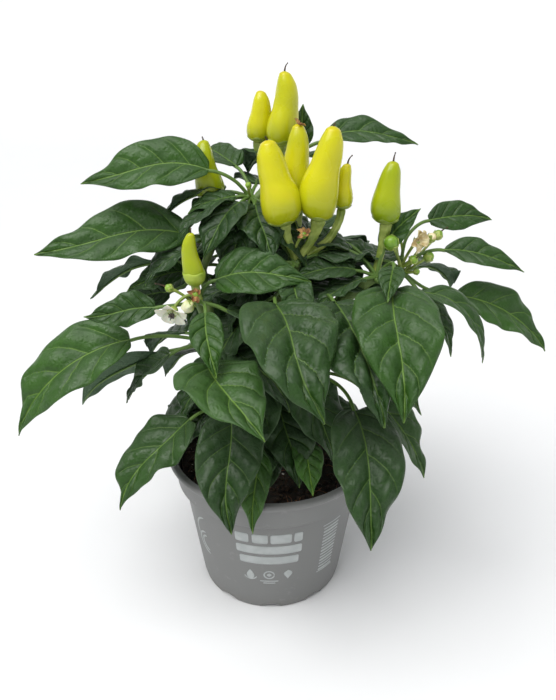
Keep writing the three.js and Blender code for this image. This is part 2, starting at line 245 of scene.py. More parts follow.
def tube_faces(rows, sides):
    faces = []
    start, end = rows * sides, rows * sides + 1
    for j in range(sides):
        k = (j + 1) % sides
        faces.append((start, k, j))
        for i in range(rows - 1):
            faces.append((i * sides + j, i * sides + k, (i + 1) * sides + k, (i + 1) * sides + j))
        faces.append((end, (rows - 1) * sides + j, (rows - 1) * sides + k))
    return faces


def joined(parts):
    """Several (vertices, faces) as one."""
    vertices, faces, first = [], [], 0
    for part_vertices, part_faces in parts:
        vertices.append(np.asarray(part_vertices, float))
        faces.extend(tuple(first + i for i in face) for face in part_faces)
        first += len(part_vertices)
    return np.vstack(vertices), faces


def bezier(a, b, c, d, count):
    t = np.linspace(0, 1, count)[:, None]
    a, b, c, d = (np.asarray(p, float) for p in (a, b, c, d))
    return (1 - t) ** 3 * a + 3 * (1 - t) ** 2 * t * b + 3 * (1 - t) * t * t * c + t ** 3 * d


# ---------------------------------------------------------------- reading the frame

def welded(node):
    """A CAD node's corners, each once, and which corners share an edge."""
    mesh = frame["nodes"][node].data
    known, corner_of, corners = {}, [], []
    for vertex in mesh.vertices:
        key = tuple(round(c / (0.01 * MM)) for c in vertex.co)
        if key not in known:
            known[key] = len(corners)
            corners.append(np.array(vertex.co))
        corner_of.append(known[key])
    near = [set() for _ in corners]
    for polygon in mesh.polygons:
        ids = [corner_of[i] for i in polygon.vertices]
        for a, b in zip(ids, ids[1:] + ids[:1]):
            near[a].add(b)
            near[b].add(a)
    return corners, near


def rings_of(node, count):
    """The loft's rings from its stalk to its tip, and the tip."""
    corners, near = welded(node)
    for tip in range(len(corners)):
        if len(near[tip]) != count:
            continue
        rings, seen = [sorted(near[tip])], {tip, *near[tip]}
        while True:
            ahead = sorted({j for i in rings[-1] for j in near[i]} - seen)
            if len(ahead) != count:
                break
            rings.append(ahead)
            seen.update(ahead)
        if len(seen) == count * len(rings) + 1 >= len(corners) - 1:
            places = [np.array([corners[i] for i in ring]) for ring in rings]
            return places[::-1], corners[tip]
    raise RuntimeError(f"{node} isn't a loft of rings of {count}")


# ---------------------------------------------------------------- materials

class Nodes:
    """A new material, with short names for building its node tree."""

    def __init__(self, name):
        self.material = bpy.data.materials.new(name)
        self.material.use_nodes = True
        self.tree = self.material.node_tree
        self.shader = self.tree.nodes["Principled BSDF"]

    def surface(self, **values):
        """Give the shader values or node outputs, by the names of its sockets."""
        for name, value in values.items():
            self.put(value, self.shader.inputs[name.replace("_", " ")])

    def add(self, kind, **settings):
        node = self.tree.nodes.new(kind)
        for key, value in settings.items():
            setattr(node, key, value)
        return node

    def link(self, source, target):
        self.tree.links.new(source, target)

    def put(self, value, socket):
        if isinstance(value, bpy.types.NodeSocket):
            self.link(value, socket)
        else:
            socket.default_value = value

    def math(self, operation, a, b=0.0):
        node = self.add("ShaderNodeMath", operation=operation)
        self.put(a, node.inputs[0])
        self.put(b, node.inputs[1])
        return node.outputs[0]

    def band(self, value, low, high, out_low=0.0, out_high=1.0):
        node = self.add("ShaderNodeMapRange", interpolation_type="SMOOTHSTEP")
        for socket, given in zip(node.inputs, (value, low, high, out_low, out_high)):
            self.put(given, socket)
        return node.outputs[0]

    def mix(self, factor, a, b):
        node = self.add("ShaderNodeMix", data_type="RGBA")
        self.put(factor, node.inputs[0])
        self.put(a, node.inputs[6])
        self.put(b, node.inputs[7])
        return node.outputs[2]

    def noise(self, scale, detail=3.0, vector=None, roughness=0.5):
        node = self.add("ShaderNodeTexNoise")
        node.inputs["Scale"].default_value = scale
        node.inputs["Detail"].default_value = detail
        node.inputs["Roughness"].default_value = roughness
        self.put(vector or self.place(), node.inputs["Vector"])
        return node.outputs["Fac"]

    def place(self):
        return self.add("ShaderNodeTexCoord").outputs["Object"]

    def attribute(self, name):
        return self.add("ShaderNodeAttribute", attribute_name=name).outputs["Fac"]

    def uv(self, name):
        return self.add("ShaderNodeUVMap", uv_map=name).outputs[0]

    def split(self, vector):
        node = self.add("ShaderNodeSeparateXYZ")
        self.link(vector, node.inputs[0])
        return node.outputs

    def bump(self, height, strength, distance):
        node = self.add("ShaderNodeBump")
        node.inputs["Strength"].default_value = strength
        node.inputs["Distance"].default_value = distance
        self.link(height, node.inputs["Height"])
        self.surface(Normal=node.outputs[0])


def rgb(r, g, b):
    return (r, g, b, 1.0)


def leaf_material():
    """Dark waxy leaf skin: pale veins, a fine net, a painted grey sheen where it faces up, a paler underside.
    """
    n = Nodes("leaf_skin")
    vein_phase, across, _ = n.split(n.uv("Veins"))
    _, from_midrib, _ = n.split(n.uv("Blade"))
    tone = n.attribute("tone")
    under = n.attribute("underside")
    stalk = n.attribute("stalk")
    off_vein = n.math("ABSOLUTE", n.math("SUBTRACT", n.math("FRACT", vein_phase), 0.5))
    away = n.math("ABSOLUTE", across)
    line = n.band(off_vein, 0.012, 0.045, 1.0, 0.0)
    side_vein = n.math("MULTIPLY", line, n.band(away, 0.4, 0.95, 0.58, 0.1))
    midrib = n.band(n.math("ABSOLUTE", from_midrib), 0.2, 0.65, 1.0, 0.0)
    veins = n.math("MAXIMUM", side_vein, midrib)
    net = n.add("ShaderNodeTexVoronoi", feature="DISTANCE_TO_EDGE")
    net.inputs["Scale"].default_value = 0.42
    n.link(n.uv("Blade"), net.inputs["Vector"])
    net_line = n.band(net.outputs["Distance"], 0.0, 0.12, 1.0, 0.0)
    domes = n.band(net.outputs["Distance"], 0.0, 0.45)
    blotch = n.noise(90, 4)
    patch = n.noise(28, 2)
    # The tone runs from dark to bright lamina and veins: partly each leaf's own tone, partly painted shade
    # and painted light.
    lamina = n.mix(tone, rgb(0.0095, 0.03, 0.006), rgb(0.05, 0.15, 0.011))
    lamina = n.mix(n.band(patch, 0.35, 0.7, 0.0, 0.4), lamina, rgb(0.021, 0.06, 0.01))
    lamina = n.mix(n.band(blotch, 0.4, 0.75, 0.0, 0.35), lamina, rgb(0.007, 0.024, 0.007))
    lamina = n.mix(n.math("MULTIPLY", net_line, 0.1), lamina, rgb(0.08, 0.16, 0.05))
    lamina = n.mix(n.band(away, 0.95, 0.995, 0.0, 0.3), lamina, rgb(0.09, 0.16, 0.06))
    # Painted sheen: surfaces that face up are mixed towards a pale grey green, standing in for the overhead
    # light's reflection.
    painted_sheen_facing = n.split(n.add("ShaderNodeNewGeometry").outputs["Normal"])[2]
    lamina = n.mix(n.band(painted_sheen_facing, 0.55, 1.0, 0.0, 0.22), lamina, rgb(0.1, 0.14, 0.088))
    pale_vein = n.mix(tone, rgb(0.095, 0.175, 0.035), rgb(0.2, 0.35, 0.05))
    top = n.mix(n.math("MULTIPLY", veins, 0.8), lamina, pale_vein)
    below = n.mix(n.math("MULTIPLY", veins, 0.6), rgb(0.06, 0.115, 0.055), rgb(0.13, 0.22, 0.1))
    blade = n.mix(under, top, below)
    stalk_colour = n.mix(n.noise(160, 3), rgb(0.07, 0.135, 0.028), rgb(0.14, 0.24, 0.05))
    n.surface(Base_Color=n.mix(stalk, blade, stalk_colour))
    rough = n.band(blotch, 0.3, 0.7, 0.37, 0.5)
    n.surface(Roughness=n.math("ADD", rough, n.math("MULTIPLY", under, 0.16)))
    n.surface(IOR=1.38)
    furrows = n.math("MULTIPLY", n.band(off_vein, 0.0, 0.2, 1.4, 0.0), n.band(away, 0.7, 1.0, 1.0, 0.0))
    grooves = n.math("SUBTRACT", n.math("MULTIPLY", domes, 0.5), n.math("ADD", furrows, veins))
    height = n.math("ADD", grooves, n.math("MULTIPLY", n.noise(700, 2), 0.2))
    n.bump(height, 0.75, 0.4 * MM)
    return n.material


def pepper_material(name, ripe, green_and_shade, tip):
    """Waxy fruit skin, greener by the stalk, partly real greening and partly painted shade, with faint
    blotches and a smooth gloss.
    """
    n = Nodes(name)
    along = n.attribute("along")
    blotch = n.noise(75, 3)
    broad = n.noise(30, 2)
    # Towards the stalk the skin takes the shade colour: partly real greening, partly painted shade. The broad
    # patches below are random greener tone.
    colour = n.mix(n.band(along, 0.0, 0.55, 1.0, 0.0), ripe, green_and_shade)
    colour = n.mix(n.band(broad, 0.42, 0.72, 0.0, 0.55), colour, green_and_shade)
    colour = n.mix(n.band(blotch, 0.5, 0.8, 0.0, 0.3), colour, tip)
    colour = n.mix(n.band(along, 0.9, 1.0, 0.0, 0.6), colour, tip)
    n.surface(Base_Color=colour)
    n.surface(Roughness=n.band(blotch, 0.3, 0.7, 0.24, 0.34))
    n.surface(Subsurface_Weight=0.12)
    n.surface(Subsurface_Radius=(1.0, 0.8, 0.1))
    n.surface(Subsurface_Scale=2 * MM)
    n.surface(IOR=1.4)
    n.surface(Coat_Weight=0.12)
    n.surface(Coat_Roughness=0.12)
    n.bump(n.noise(420, 2), 0.12, 0.15 * MM)
    return n.material


def mottled_material(name, dark, light, scale, roughness, bump=0.3):
    """A two-colour organic surface with fine grain."""
    n = Nodes(name)
    factor = n.band(n.noise(scale, 4), 0.35, 0.68)
    n.surface(Base_Color=n.mix(factor, dark, light))
    gloss = n.band(n.noise(scale * 2, 3), 0.3, 0.7, roughness - 0.06, roughness + 0.08)
    n.surface(Roughness=gloss)
    n.bump(n.noise(GRAIN_SCALE, 3), bump, 0.2 * MM)
    return n.material


def stem_material():
    """Olive green, turning brown and corky towards the soil, with streaks along the branches."""
    n = Nodes("stem_bark")
    place = n.place()
    height = n.split(place)[2]
    stretch = n.add("ShaderNodeMapping")
    stretch.inputs["Scale"].default_value = (1.0, 1.0, 0.12)
    n.link(place, stretch.inputs[0])
    streak = n.noise(900, 3, stretch.outputs[0])
    woody = n.math("ADD", n.band(height, 0.085, 0.17, 1.0, 0.0), n.math("MULTIPLY", n.noise(80, 2), 0.5))
    green = n.mix(streak, rgb(0.07, 0.13, 0.028), rgb(0.17, 0.25, 0.06))
    brown = n.mix(streak, rgb(0.07, 0.05, 0.025), rgb(0.2, 0.15, 0.075))
    n.surface(Base_Color=n.mix(n.band(woody, 0.45, 1.1), green, brown))
    n.surface(Roughness=n.band(streak, 0.3, 0.7, 0.5, 0.68))
    n.bump(streak, 0.4, 0.3 * MM)
    return n.material


def pot_material():
    """Matte recycled plastic: grey with faint flow marks, moulding grain and scuffs."""
    n = Nodes("pot_plastic")
    place = n.place()
    stretch = n.add("ShaderNodeMapping")
    stretch.inputs["Scale"].default_value = (1.0, 1.0, 0.25)
    n.link(place, stretch.inputs[0])
    flow = n.noise(45, 4, stretch.outputs[0])
    grain = n.noise(1500, 2)
    scuff = n.band(n.noise(120, 5, None, 0.7), 0.6, 0.72)
    colour = n.mix(flow, rgb(0.155, 0.158, 0.154), rgb(0.195, 0.197, 0.192))
    colour = n.mix(n.math("MULTIPLY", scuff, 0.25), colour, rgb(0.34, 0.34, 0.33))
    # Darker and browner in noisy patches within 12 mm of the bottom.
    near_floor_band = n.band(n.split(place)[2], 0.0, 0.012, 0.35, 0.0)
    colour = n.mix(n.math("MULTIPLY", near_floor_band, n.noise(300, 3)), colour, rgb(0.12, 0.1, 0.08))
    n.surface(Base_Color=colour)
    n.surface(Roughness=n.band(flow, 0.3, 0.7, 0.42, 0.54))
    n.bump(n.math("ADD", grain, n.math("MULTIPLY", flow, 0.6)), 0.2, 0.12 * MM)
    return n.material


def soil_material():
    """Damp peat: nearly black, with brown crumbs."""
    n = Nodes("potting_soil")
    crumbs = n.noise(420, 6, None, 0.7)
    patches = n.noise(90, 3)
    colour = n.mix(n.band(crumbs, 0.42, 0.66), rgb(0.006, 0.0042, 0.003), rgb(0.05, 0.026, 0.013))
    colour = n.mix(n.band(patches, 0.45, 0.7, 0.0, 0.5), colour, rgb(0.012, 0.008, 0.006))
    n.surface(Base_Color=colour)
    n.surface(Roughness=n.band(crumbs, 0.3, 0.7, 0.7, 0.95))
    n.bump(crumbs, 0.8, 0.8 * MM)
    return n.material


def petal_material():
    """Thin petals: white at the edge, greenish cream towards the throat, with faint lines."""
    n = Nodes("petal_white")
    inner = n.attribute("along")
    lines = n.noise(500, 3)
    colour = n.mix(n.band(inner, 0.0, 0.5), rgb(0.6, 0.65, 0.27), rgb(0.8, 0.8, 0.67))
    colour = n.mix(n.band(lines, 0.5, 0.75, 0.0, 0.35), colour, rgb(0.72, 0.74, 0.55))
    n.surface(Base_Color=colour)
    n.surface(Roughness=n.band(lines, 0.3, 0.7, 0.5, 0.65))
    n.surface(Subsurface_Weight=0.15)
    n.surface(Subsurface_Scale=1 * MM)
    n.bump(lines, 0.25, 0.15 * MM)
    return n.material


def floor_material():
    n = Nodes("studio_floor")
    colour = n.mix(n.noise(3, 3), rgb(0.83, 0.835, 0.84), rgb(0.86, 0.863, 0.868))
    n.surface(Base_Color=colour)
    n.surface(Roughness=0.55)
    return n.material


LEAF_SKIN = leaf_material()
PEPPER_SKINS = {
    "pepper_yellow": pepper_material(
        "pepper_yellow", rgb(0.62, 0.59, 0.008), rgb(0.4, 0.45, 0.007), rgb(0.66, 0.55, 0.012)),
    "pepper_lime": pepper_material(
        "pepper_lime", rgb(0.36, 0.43, 0.005), rgb(0.2, 0.31, 0.005), rgb(0.46, 0.47, 0.01)),
}
FRUIT_STALK = mottled_material("fruit_stalk", rgb(0.2, 0.28, 0.04), rgb(0.42, 0.5, 0.12), 140, 0.42)
PALE_CALYX = mottled_material("calyx_pale", rgb(0.26, 0.38, 0.03), rgb(0.42, 0.52, 0.06), 150, 0.38, 0.1)
FRUITLET_SKIN = mottled_material(
    "fruitlet_green", rgb(0.13, 0.27, 0.02), rgb(0.26, 0.42, 0.045), 160, 0.32, 0.1)
WITHERED = mottled_material("withered_petal", rgb(0.16, 0.05, 0.015), rgb(0.58, 0.34, 0.12), 260, 0.75, 0.5)
CREAM = mottled_material("withered_cream", rgb(0.5, 0.36, 0.14), rgb(0.88, 0.8, 0.5), 240, 0.7, 0.5)
ANTHER = mottled_material("anther", rgb(0.05, 0.04, 0.045), rgb(0.2, 0.16, 0.13), 600, 0.6, 0.4)
DRIED_STYLE = mottled_material("dried_style", rgb(0.02, 0.012, 0.008), rgb(0.09, 0.05, 0.025), 700, 0.7)
PETAL = petal_material()
PRINT = mottled_material("pot_print", rgb(0.36, 0.385, 0.38), rgb(0.42, 0.445, 0.44), 200, 0.5, 0.1)


# ---------------------------------------------------------------- leaves

def blade_outline(t):
    """Half the CAD blade's width at a fraction of its length, as a share of its greatest."""
    return np.sin(np.pi * t ** 0.68) ** 0.85 * (1 - 0.25 * t * t)


def leaf_path(node):
    """A CAD leaf's line from stalk to tip, with the blade's upper side and half width on the way."""
    rings, tip = rings_of(node, LEAF_RING)
    stalk = [ring.mean(0) for ring in rings[:STALK_RINGS]]
    middles, ups, halves = [], [], []
    for ring in rings[STALK_RINGS:]:
        gaps = np.linalg.norm(ring[:, None] - ring[None], axis=2)
        a, b = np.unravel_index(gaps.argmax(), gaps.shape)
        inner = [i for i in range(LEAF_RING) if i not in (a, b)]
        middle = ring[inner].mean(0)
        middles.append(middle)
        ups.append(unit((ring[a] + ring[b]) / 2 - middle))
        halves.append(gaps[a, b] / 2)
    base = stalk[-1] + (middles[0] - stalk[-1]) * 0.45
    line = np.array([base, *middles, tip])
    return np.array([*stalk, base]), line, np.array(ups), np.array(halves)


def leaf_parts(stalk, line, ups, halves, rng, quilted=1.0):
    """A leaf's blade and stalk, and what the material needs to know of each."""
    rows, columns = LEAF_ROWS, LEAF_COLUMNS
    run = lengths_along(line)
    length = run[-1]
    knots = run / length
    widest = np.median(halves / blade_outline(knots[1:-1]))
    # The midrib's line, with the directions along, up and to the right at each row
    t = np.linspace(0, 1, rows + 1) ** 1.25
    middle = hermite(knots, line, t)
    along = unit(np.gradient(middle, axis=0))
    up = hermite(knots, np.array([ups[0], *ups, ups[-1]]), t)
    right = unit(np.cross(along, up))
    up = np.cross(right, along)
    # Columns from edge to edge, and how far each lies from the midrib
    v = np.linspace(-1, 1, columns + 1)
    v = np.sign(v) * np.abs(v) ** 0.9
    away = np.abs(v)[None]
    side = (v[None] > 0).astype(float)
    t_column = t[:, None]
    # Half widths: narrow leaves take the slim outline
    slim = np.clip((0.52 - 2 * widest / length) / 0.14, 0, 1)
    outline = np.array(BROAD_OUTLINE) * (1 - slim) + np.array(SLIM_OUTLINE) * slim
    half = widest * hermite(OUTLINE_PLACES, outline, t)
    half[0] = PETIOLE_RADIUS * 0.7
    phases = [rng.uniform(0, 6.3) for _ in range(6)]
    uneven = 1 + 0.018 * wave(phases[:3], 7 * t_column + 3 * side)
    reach = half[:, None] * uneven
    # Side veins lean and bow forward, and those of one side start between the other's
    slant = 0.85 * widest / length
    shift = rng.uniform(0.3, 0.7)
    stagger = 0.45

    def vein_phase(place, across, on_right):
        bow = slant * across + 0.035 * across ** 3
        drift = 0.16 * np.sin(5.3 * place + phases[0] + 2.1 * on_right)
        return VEIN_PAIRS * (place ** 0.92 - bow) + drift + stagger * on_right + shift

    # The blade swells between its veins, folds at the midrib, and waves at its margin
    swell = np.abs(np.cos(np.pi * vein_phase(t_column, away, side))) ** 0.65
    inside = np.sin(np.pi * away ** 0.8) ** 0.7 * np.sin(np.pi * np.clip(t_column, 0.02, 0.98)) ** 0.5
    pucker = 0.3 * np.sin(31 * t_column + phases[1] + 5 * away) * np.sin(9 * away + phases[2] + 3 * side)
    quilt = QUILT_HEIGHT * quilted * rng.uniform(0.8, 1.2) * (swell + pucker) * inside
    keel = 0.4 * np.sqrt(away ** 2 + 0.004) - 0.18 * away ** 2
    wavy = MARGIN_WAVE * rng.uniform(0.5, 1.8) * away ** 2.5
    wavy = wavy * wave(phases[3:], 8.5 * t_column + 2.6 * side)
    lean = rng.uniform(-0.07, 0.07) * v[None]
    lift = widest * (quilt + wavy * np.sin(np.pi * t_column) ** 0.4) + half[:, None] * (keel + lean)
    # A slight sway of the whole blade, and lobes that reach back at its base
    sway = rng.uniform(-0.03, 0.03) * length * np.sin(2 * np.pi * t)
    sway = sway + rng.uniform(-0.05, 0.05) * length * t ** 3
    centre = middle + right * sway[:, None]
    lobe = BASE_LOBE * (1 - slim) * length * rng.uniform(0.6, 1.1)
    back = lobe * np.clip(t / 0.03, 0, 1) * np.clip(1 - t / 0.25, 0, 1) ** 2
    sideways = right[:, None] * (reach * v[None] * 0.97)[..., None]
    surface = centre[:, None] + sideways + up[:, None] * lift[..., None]
    surface = surface - along[:, None] * (back[:, None] * away ** 1.6)[..., None]
    # Two skins, thinner at the edge
    normal = unit(np.cross(np.gradient(surface, axis=1), np.gradient(surface, axis=0)))
    normal *= np.where((normal * up[:, None]).sum(-1, keepdims=True) < 0, -1, 1)
    thin = LEAF_THICKNESS * (0.35 + 0.65 * (1 - away ** 4)) / 2
    top = surface + normal * thin[..., None]
    bottom = surface - normal * thin[..., None]
    return {
        "blade": closed_sheet(top, bottom), "rib": leaf_rib(stalk, centre - up * 0.4 * MM, t),
        "t": t, "v": v, "half": half, "phase": vein_phase, "length": length,
    }


def leaf_rib(stalk, midline, t):
    """The stalk, running on under the blade as its midrib."""
    line = np.vstack([from_inside(stalk), stalk[:-1], midline[(t > 0) & (t < 0.95)]])
    run = lengths_along(line)
    fine = np.linspace(0, run[-1], 64)
    bare = run[len(stalk)]
    taper = np.clip((fine - bare) / (run[-1] - bare), 0, 1)
    radius = PETIOLE_RADIUS * (1 - 0.8 * taper) * (1 + 0.4 * np.exp(-fine / (3 * MM)))
    return tube(hermite(run, line, fine), radius, 10)


def closed_sheet(top, bottom):
    """Two grids of points as one closed thin shell. The first half of the vertices is the top."""
    rows, columns = top.shape[0], top.shape[1]
    count = rows * columns
    faces = []
    at = np.arange(count).reshape(rows, columns).tolist()
    for row, beyond in zip(at, at[1:]):
        for j in range(columns - 1):
            quad = (row[j], row[j + 1], beyond[j + 1], beyond[j])
            faces.append(quad)
            faces.append(tuple(count + k for k in quad[::-1]))
    rim = at[0] + [row[-1] for row in at[1:]]
    rim += at[-1][-2::-1] + [row[0] for row in at[-2:0:-1]]
    for a, b in zip(rim, rim[1:] + rim[:1]):
        faces.append((b, a, count + a, count + b))
    return np.vstack([top.reshape(-1, 3), bottom.reshape(-1, 3)]), faces


def make_leaf(name, leaves, tones, replaces=()):
    """One piece from one or more leaves, with the values that the leaf material reads."""
    shells, tone, underside, stalk_mask = [], [], [], []
    for parts, leaf_tone in zip(leaves, tones):
        blade_count, rib_count = len(parts["blade"][0]), len(parts["rib"][0])
        shells += [parts["blade"], parts["rib"]]
        tone += [leaf_tone] * (blade_count + rib_count)
        underside += [0.0] * (blade_count // 2) + [1.0] * (blade_count // 2) + [0.0] * rib_count
        stalk_mask += [0.0] * blade_count + [1.0] * rib_count
    vertices, faces = joined(shells)
    piece = make_object(name, vertices, faces, LEAF_SKIN, "leaf_green", replaces)
    vertex_values(piece, "tone", tone)
    vertex_values(piece, "underside", underside)
    vertex_values(piece, "stalk", stalk_mask)
    lay_leaf_maps(piece, leaves)
    return piece


def lay_leaf_maps(piece, leaves):
    """Map "Veins" holds the side veins' phase and the place across; "Blade" holds millimetres."""
    mesh = piece.data
    veins = np.zeros((len(mesh.loops), 2), np.float32)
    blade = np.full((len(mesh.loops), 2), 9.0, np.float32)
    columns = LEAF_COLUMNS + 1
    grid = (LEAF_ROWS + 1) * columns
    starts, first = [], 0
    for parts in leaves:
        starts.append(first)
        first += len(parts["blade"][0]) + len(parts["rib"][0])
    for polygon in mesh.polygons:
        number = int(np.searchsorted(starts, polygon.vertices[0], side="right")) - 1
        start, parts = starts[number], leaves[number]
        if polygon.vertices[0] - start >= 2 * grid:
            continue
        places = [divmod((i - start) % grid, columns) for i in polygon.vertices]
        on_right = float(sum(parts["v"][j] for _, j in places) > 0)
        for loop, (i, j) in zip(polygon.loop_indices, places):
            t, v, half = parts["t"][i], parts["v"][j], parts["half"][i]
            veins[loop] = parts["phase"](t, abs(v), on_right), v
            blade[loop] = t * parts["length"] / MM, v * half / MM
    for name, values in (("Veins", veins), ("Blade", blade)):
        layer = mesh.uv_layers.new(name=name)
        layer.uv.foreach_set("vector", values.ravel())


# How bright each leaf is, from 0 for the darkest to 1 for the brightest: partly each leaf's own tone, partly
# painted shade on the low leaves and painted light on the upper ones. The rest take LEAF_TONE.
LEAF_TONE = 0.3
LEAF_TONES_AND_SHADE = {
    "bright_front": 0.62, "low_front_left": 0.1, "low_front_narrow": 0.6, "low_front_bright": 0.85,
    "narrow_front": 0.5, "right_front": 0.44, "big_front": 0.2, "quilted_right": 0.12,
    "sideways_left": 0.45, "upper_left": 0.5, "long_left": 0.46, "drooping_left": 0.56,
    "low_left": 0.3, "low_left_back": 0.15, "dark_left": 0.05, "behind_front": 0.2,
    "under_peppers": 0.05, "low_right_big": 0.12, "low_right_side": 0.3, "far_right": 0.42,
    "low_front_dark": 0.1, "upright_right": 0.2,
}


# Leaves with a strongly puckered surface
QUILTED = {"big_front": 2.0, "quilted_right": 2.2, "right_front": 1.4, "low_right_big": 1.5}

# Leaves that fill the plant inside and behind: the CAD leaf whose knot they share, the stalk's bearing, slope
# and length, and the blade's bearing, slopes, length, width, roll and turn, as in the CAD, in degrees and
# millimetres. The last number is the tone: partly the leaf's own tone, kept low for most as painted shade
# inside the plant.
INNER_LEAVES = (
    ("big_front", (-60, 5, 14), (-62, -10, -55, 44, 30, 0, 0), 0.1),
    ("big_front", (180, 30, 16), (190, 5, -35, 38, 25, -10, 0), 0.05),
    ("big_front", (-5, 28, 16), (8, 10, -40, 42, 26, 10, 0), 0.1),
    ("back_low", (-118, 12, 26), (-98, -20, -66, 58, 36, 0, 0), 0.12),
    ("back_low", (-52, 8, 26), (-62, -25, -66, 58, 36, 0, 10), 0.12),
    ("back_low", (-156, 12, 22), (-150, -12, -62, 52, 32, 0, 0), 0.1),
    ("back_low", (10, 10, 24), (0, -15, -62, 54, 32, 0, 0), 0.15),
    ("low_left_back", (-165, -8, 26), (-160, -28, -66, 46, 28, 0, 0), 0.1),
    ("low_left_back", (-60, 5, 24), (-70, -28, -68, 48, 30, 0, 0), 0.05),
    ("low_left_back", (-10, 5, 40), (-22, -25, -68, 44, 26, 0, 0), 0.3),
    ("low_left", (-90, 5, 26), (-85, -10, -55, 34, 22, 0, 0), 0.1),
    ("low_left", (150, 25, 34), (150, -15, -60, 50, 32, 0, 0), 0.3),
    ("low_left", (60, 25, 34), (60, -15, -60, 50, 32, 0, 0), 0.3),
    ("low_left", (100, 30, 30), (100, -15, -60, 46, 30, 0, 0), 0.2),
    ("long_left", (-120, 0, 10), (-150, -14, -50, 38, 26, 0, 0), 0.05),
    ("long_left", (75, 25, 12), (80, 5, -50, 44, 28, 0, 0), 0.3),
    ("long_left", (-40, 10, 8), (-30, 0, -30, 26, 17, 0, 0), 0.1),
    ("upper_left", (-150, 15, 9), (-165, 0, -35, 28, 16, -20, 0), 0.35),
    ("upper_left", (75, 30, 14), (80, 10, -50, 46, 30, 0, 0), 0.3),
    ("upper_left", (165, 20, 16), (165, 0, -50, 44, 28, 0, 0), 0.3),
    ("high_right", (120, 20, 12), (120, 5, -50, 42, 26, 0, 0), 0.35),
    ("high_right", (55, 15, 12), (50, 5, -50, 42, 26, 0, 0), 0.35),
    ("behind_front", (25, 20, 14), (20, 8, -35, 40, 25, 20, 0), 0.15),
    ("behind_front", (175, 5, 12), (180, -5, -45, 34, 22, -10, 0), 0.05),
    ("quilted_right", (30, 42, 16), (12, 5, -38, 42, 26, 15, 0), 0.12),
    ("quilted_right", (-30, 10, 20), (-35, -15, -60, 48, 30, 0, 0), 0.1),
    ("right_front", (190, 32, 14), (188, 12, -22, 36, 22, -20, 0), 0.15),
    ("right_front", (-150, 14, 10), (-152, -4, -45, 34, 20, 0, 0), 0.2),
    ("right_front", (80, 25, 14), (82, 0, -55, 48, 30, 0, 0), 0.3),
    ("far_right", (40, 12, 14), (45, -5, -55, 46, 28, 0, 0), 0.35),
    ("far_right", (-42, -38, 14), (-36, -38, -74, 42, 22, 0, 0), 0.3),
    ("far_right", (120, 20, 14), (125, 0, -50, 42, 26, 0, 0), 0.3),
    ("edge_left", (130, 15, 20), (135, -10, -60, 50, 30, 0, 0), 0.2),
    ("edge_left", (-170, 5, 22), (-172, -30, -66, 42, 26, 0, 0), 0.1),
    ("back_high", (60, 20, 14), (62, -5, -60, 56, 34, 0, 0), 0.3),
    ("back_high", (150, 25, 16), (148, 5, -55, 50, 32, 0, 0), 0.3),
    ("back_left_high", (100, 25, 14), (92, 0, -60, 56, 34, 0, 0), 0.35),
    ("back_left_high", (205, 15, 16), (208, -10, -60, 50, 32, 0, 0), 0.25),
    ("twisted_left", (105, 25, 14), (110, 0, -55, 46, 28, 0, 0), 0.3),
    ("twisted_left", (20, 10, 14), (15, -10, -60, 46, 32, 0, 0), 0.05),
    ("edge_left", (-40, 15, 18), (-35, -5, -60, 50, 34, 0, 0), 0.05),
    ("edge_left", (60, 20, 18), (60, 0, -60, 50, 32, 0, 0), 0.05),
    ("narrow_front", (5, -10, 14), (-5, -25, -60, 42, 30, 0, 0), 0.05),
    ("long_left", (10, 0, 12), (0, -15, -60, 44, 30, 0, 0), 0.05),
    ("upper_left", (-100, -20, 12), (-110, -40, -70, 40, 26, 0, 0), 0.05),
    ("upper_left", (0, -10, 10), (-10, -20, -60, 36, 24, 0, 0), 0.05),
    ("behind_front", (-170, -20, 14), (-165, -35, -65, 42, 28, 0, 0), 0.05),
    ("big_front", (-150, -10, 16), (-150, -30, -65, 46, 32, 0, 0), 0.08),
    ("quilted_right", (-160, 0, 14), (-160, -25, -65, 46, 30, 0, 0), 0.05),
    ("quilted_right", (90, 20, 16), (90, 0, -55, 46, 30, 0, 0), 0.15),
    ("upper_left", (-120, 5, 10), (-125, -15, -60, 40, 28, 0, 0), 0.08),
    ("upper_left", (-70, 0, 10), (-75, -20, -60, 38, 26, 0, 0), 0.08),
    ("upper_left", (200, 10, 12), (205, -10, -55, 40, 26, 0, 0), 0.1),
    ("far_right", (180, 50, 16), (190, 20, -30, 34, 22, 0, 0), 0.15),
    ("quilted_right", (60, 60, 30), (40, 20, -30, 44, 28, 0, 0), 0.2),
    ("right_front", (150, 60, 22), (160, 20, -40, 34, 24, 0, 0), 0.12),
    ("behind_front", (120, 40, 24), (150, 20, -40, 42, 28, 0, 0), 0.08),
    ("upper_left", (-30, -10, 14), (-40, -30, -65, 40, 28, 0, 0), 0.08),
    ("upper_left", (60, -20, 10), (45, -50, -75, 44, 32, 0, 0), 0.05),
    ("upper_left", (10, -30, 16), (0, -50, -75, 44, 30, 0, 0), 0.05),
    ("dark_left", (10, -10, 18), (0, -35, -70, 44, 32, 0, 0), 0.05),
    ("dark_left", (-20, 0, 8), (-20, -30, -75, 40, 28, 0, 0), 0.05),
    ("back_high", (-120, 0, 8), (-110, -30, -70, 42, 30, 0, 0), 0.08),
    ("back_high", (-60, 10, 10), (-70, -20, -65, 42, 30, 0, 0), 0.1),
    ("back_left_high", (-60, 0, 12), (-60, -30, -72, 44, 32, 0, 0), 0.06),
    ("behind_front", (90, 30, 12), (95, 0, -65, 44, 30, 0, 0), 0.08),
    ("right_front", (80, 78, 16), (20, 66, 20, 30, 15, 40, 0), 0.45),
    ("dark_left", (-60, -30, 12), (-70, -50, -75, 40, 28, 0, 0), 0.05),
)


def direction(bearing, slope):
    b, s = math.radians(bearing), math.radians(slope)
    return np.array([math.cos(b) * math.cos(s), math.sin(b) * math.cos(s), math.sin(s)])


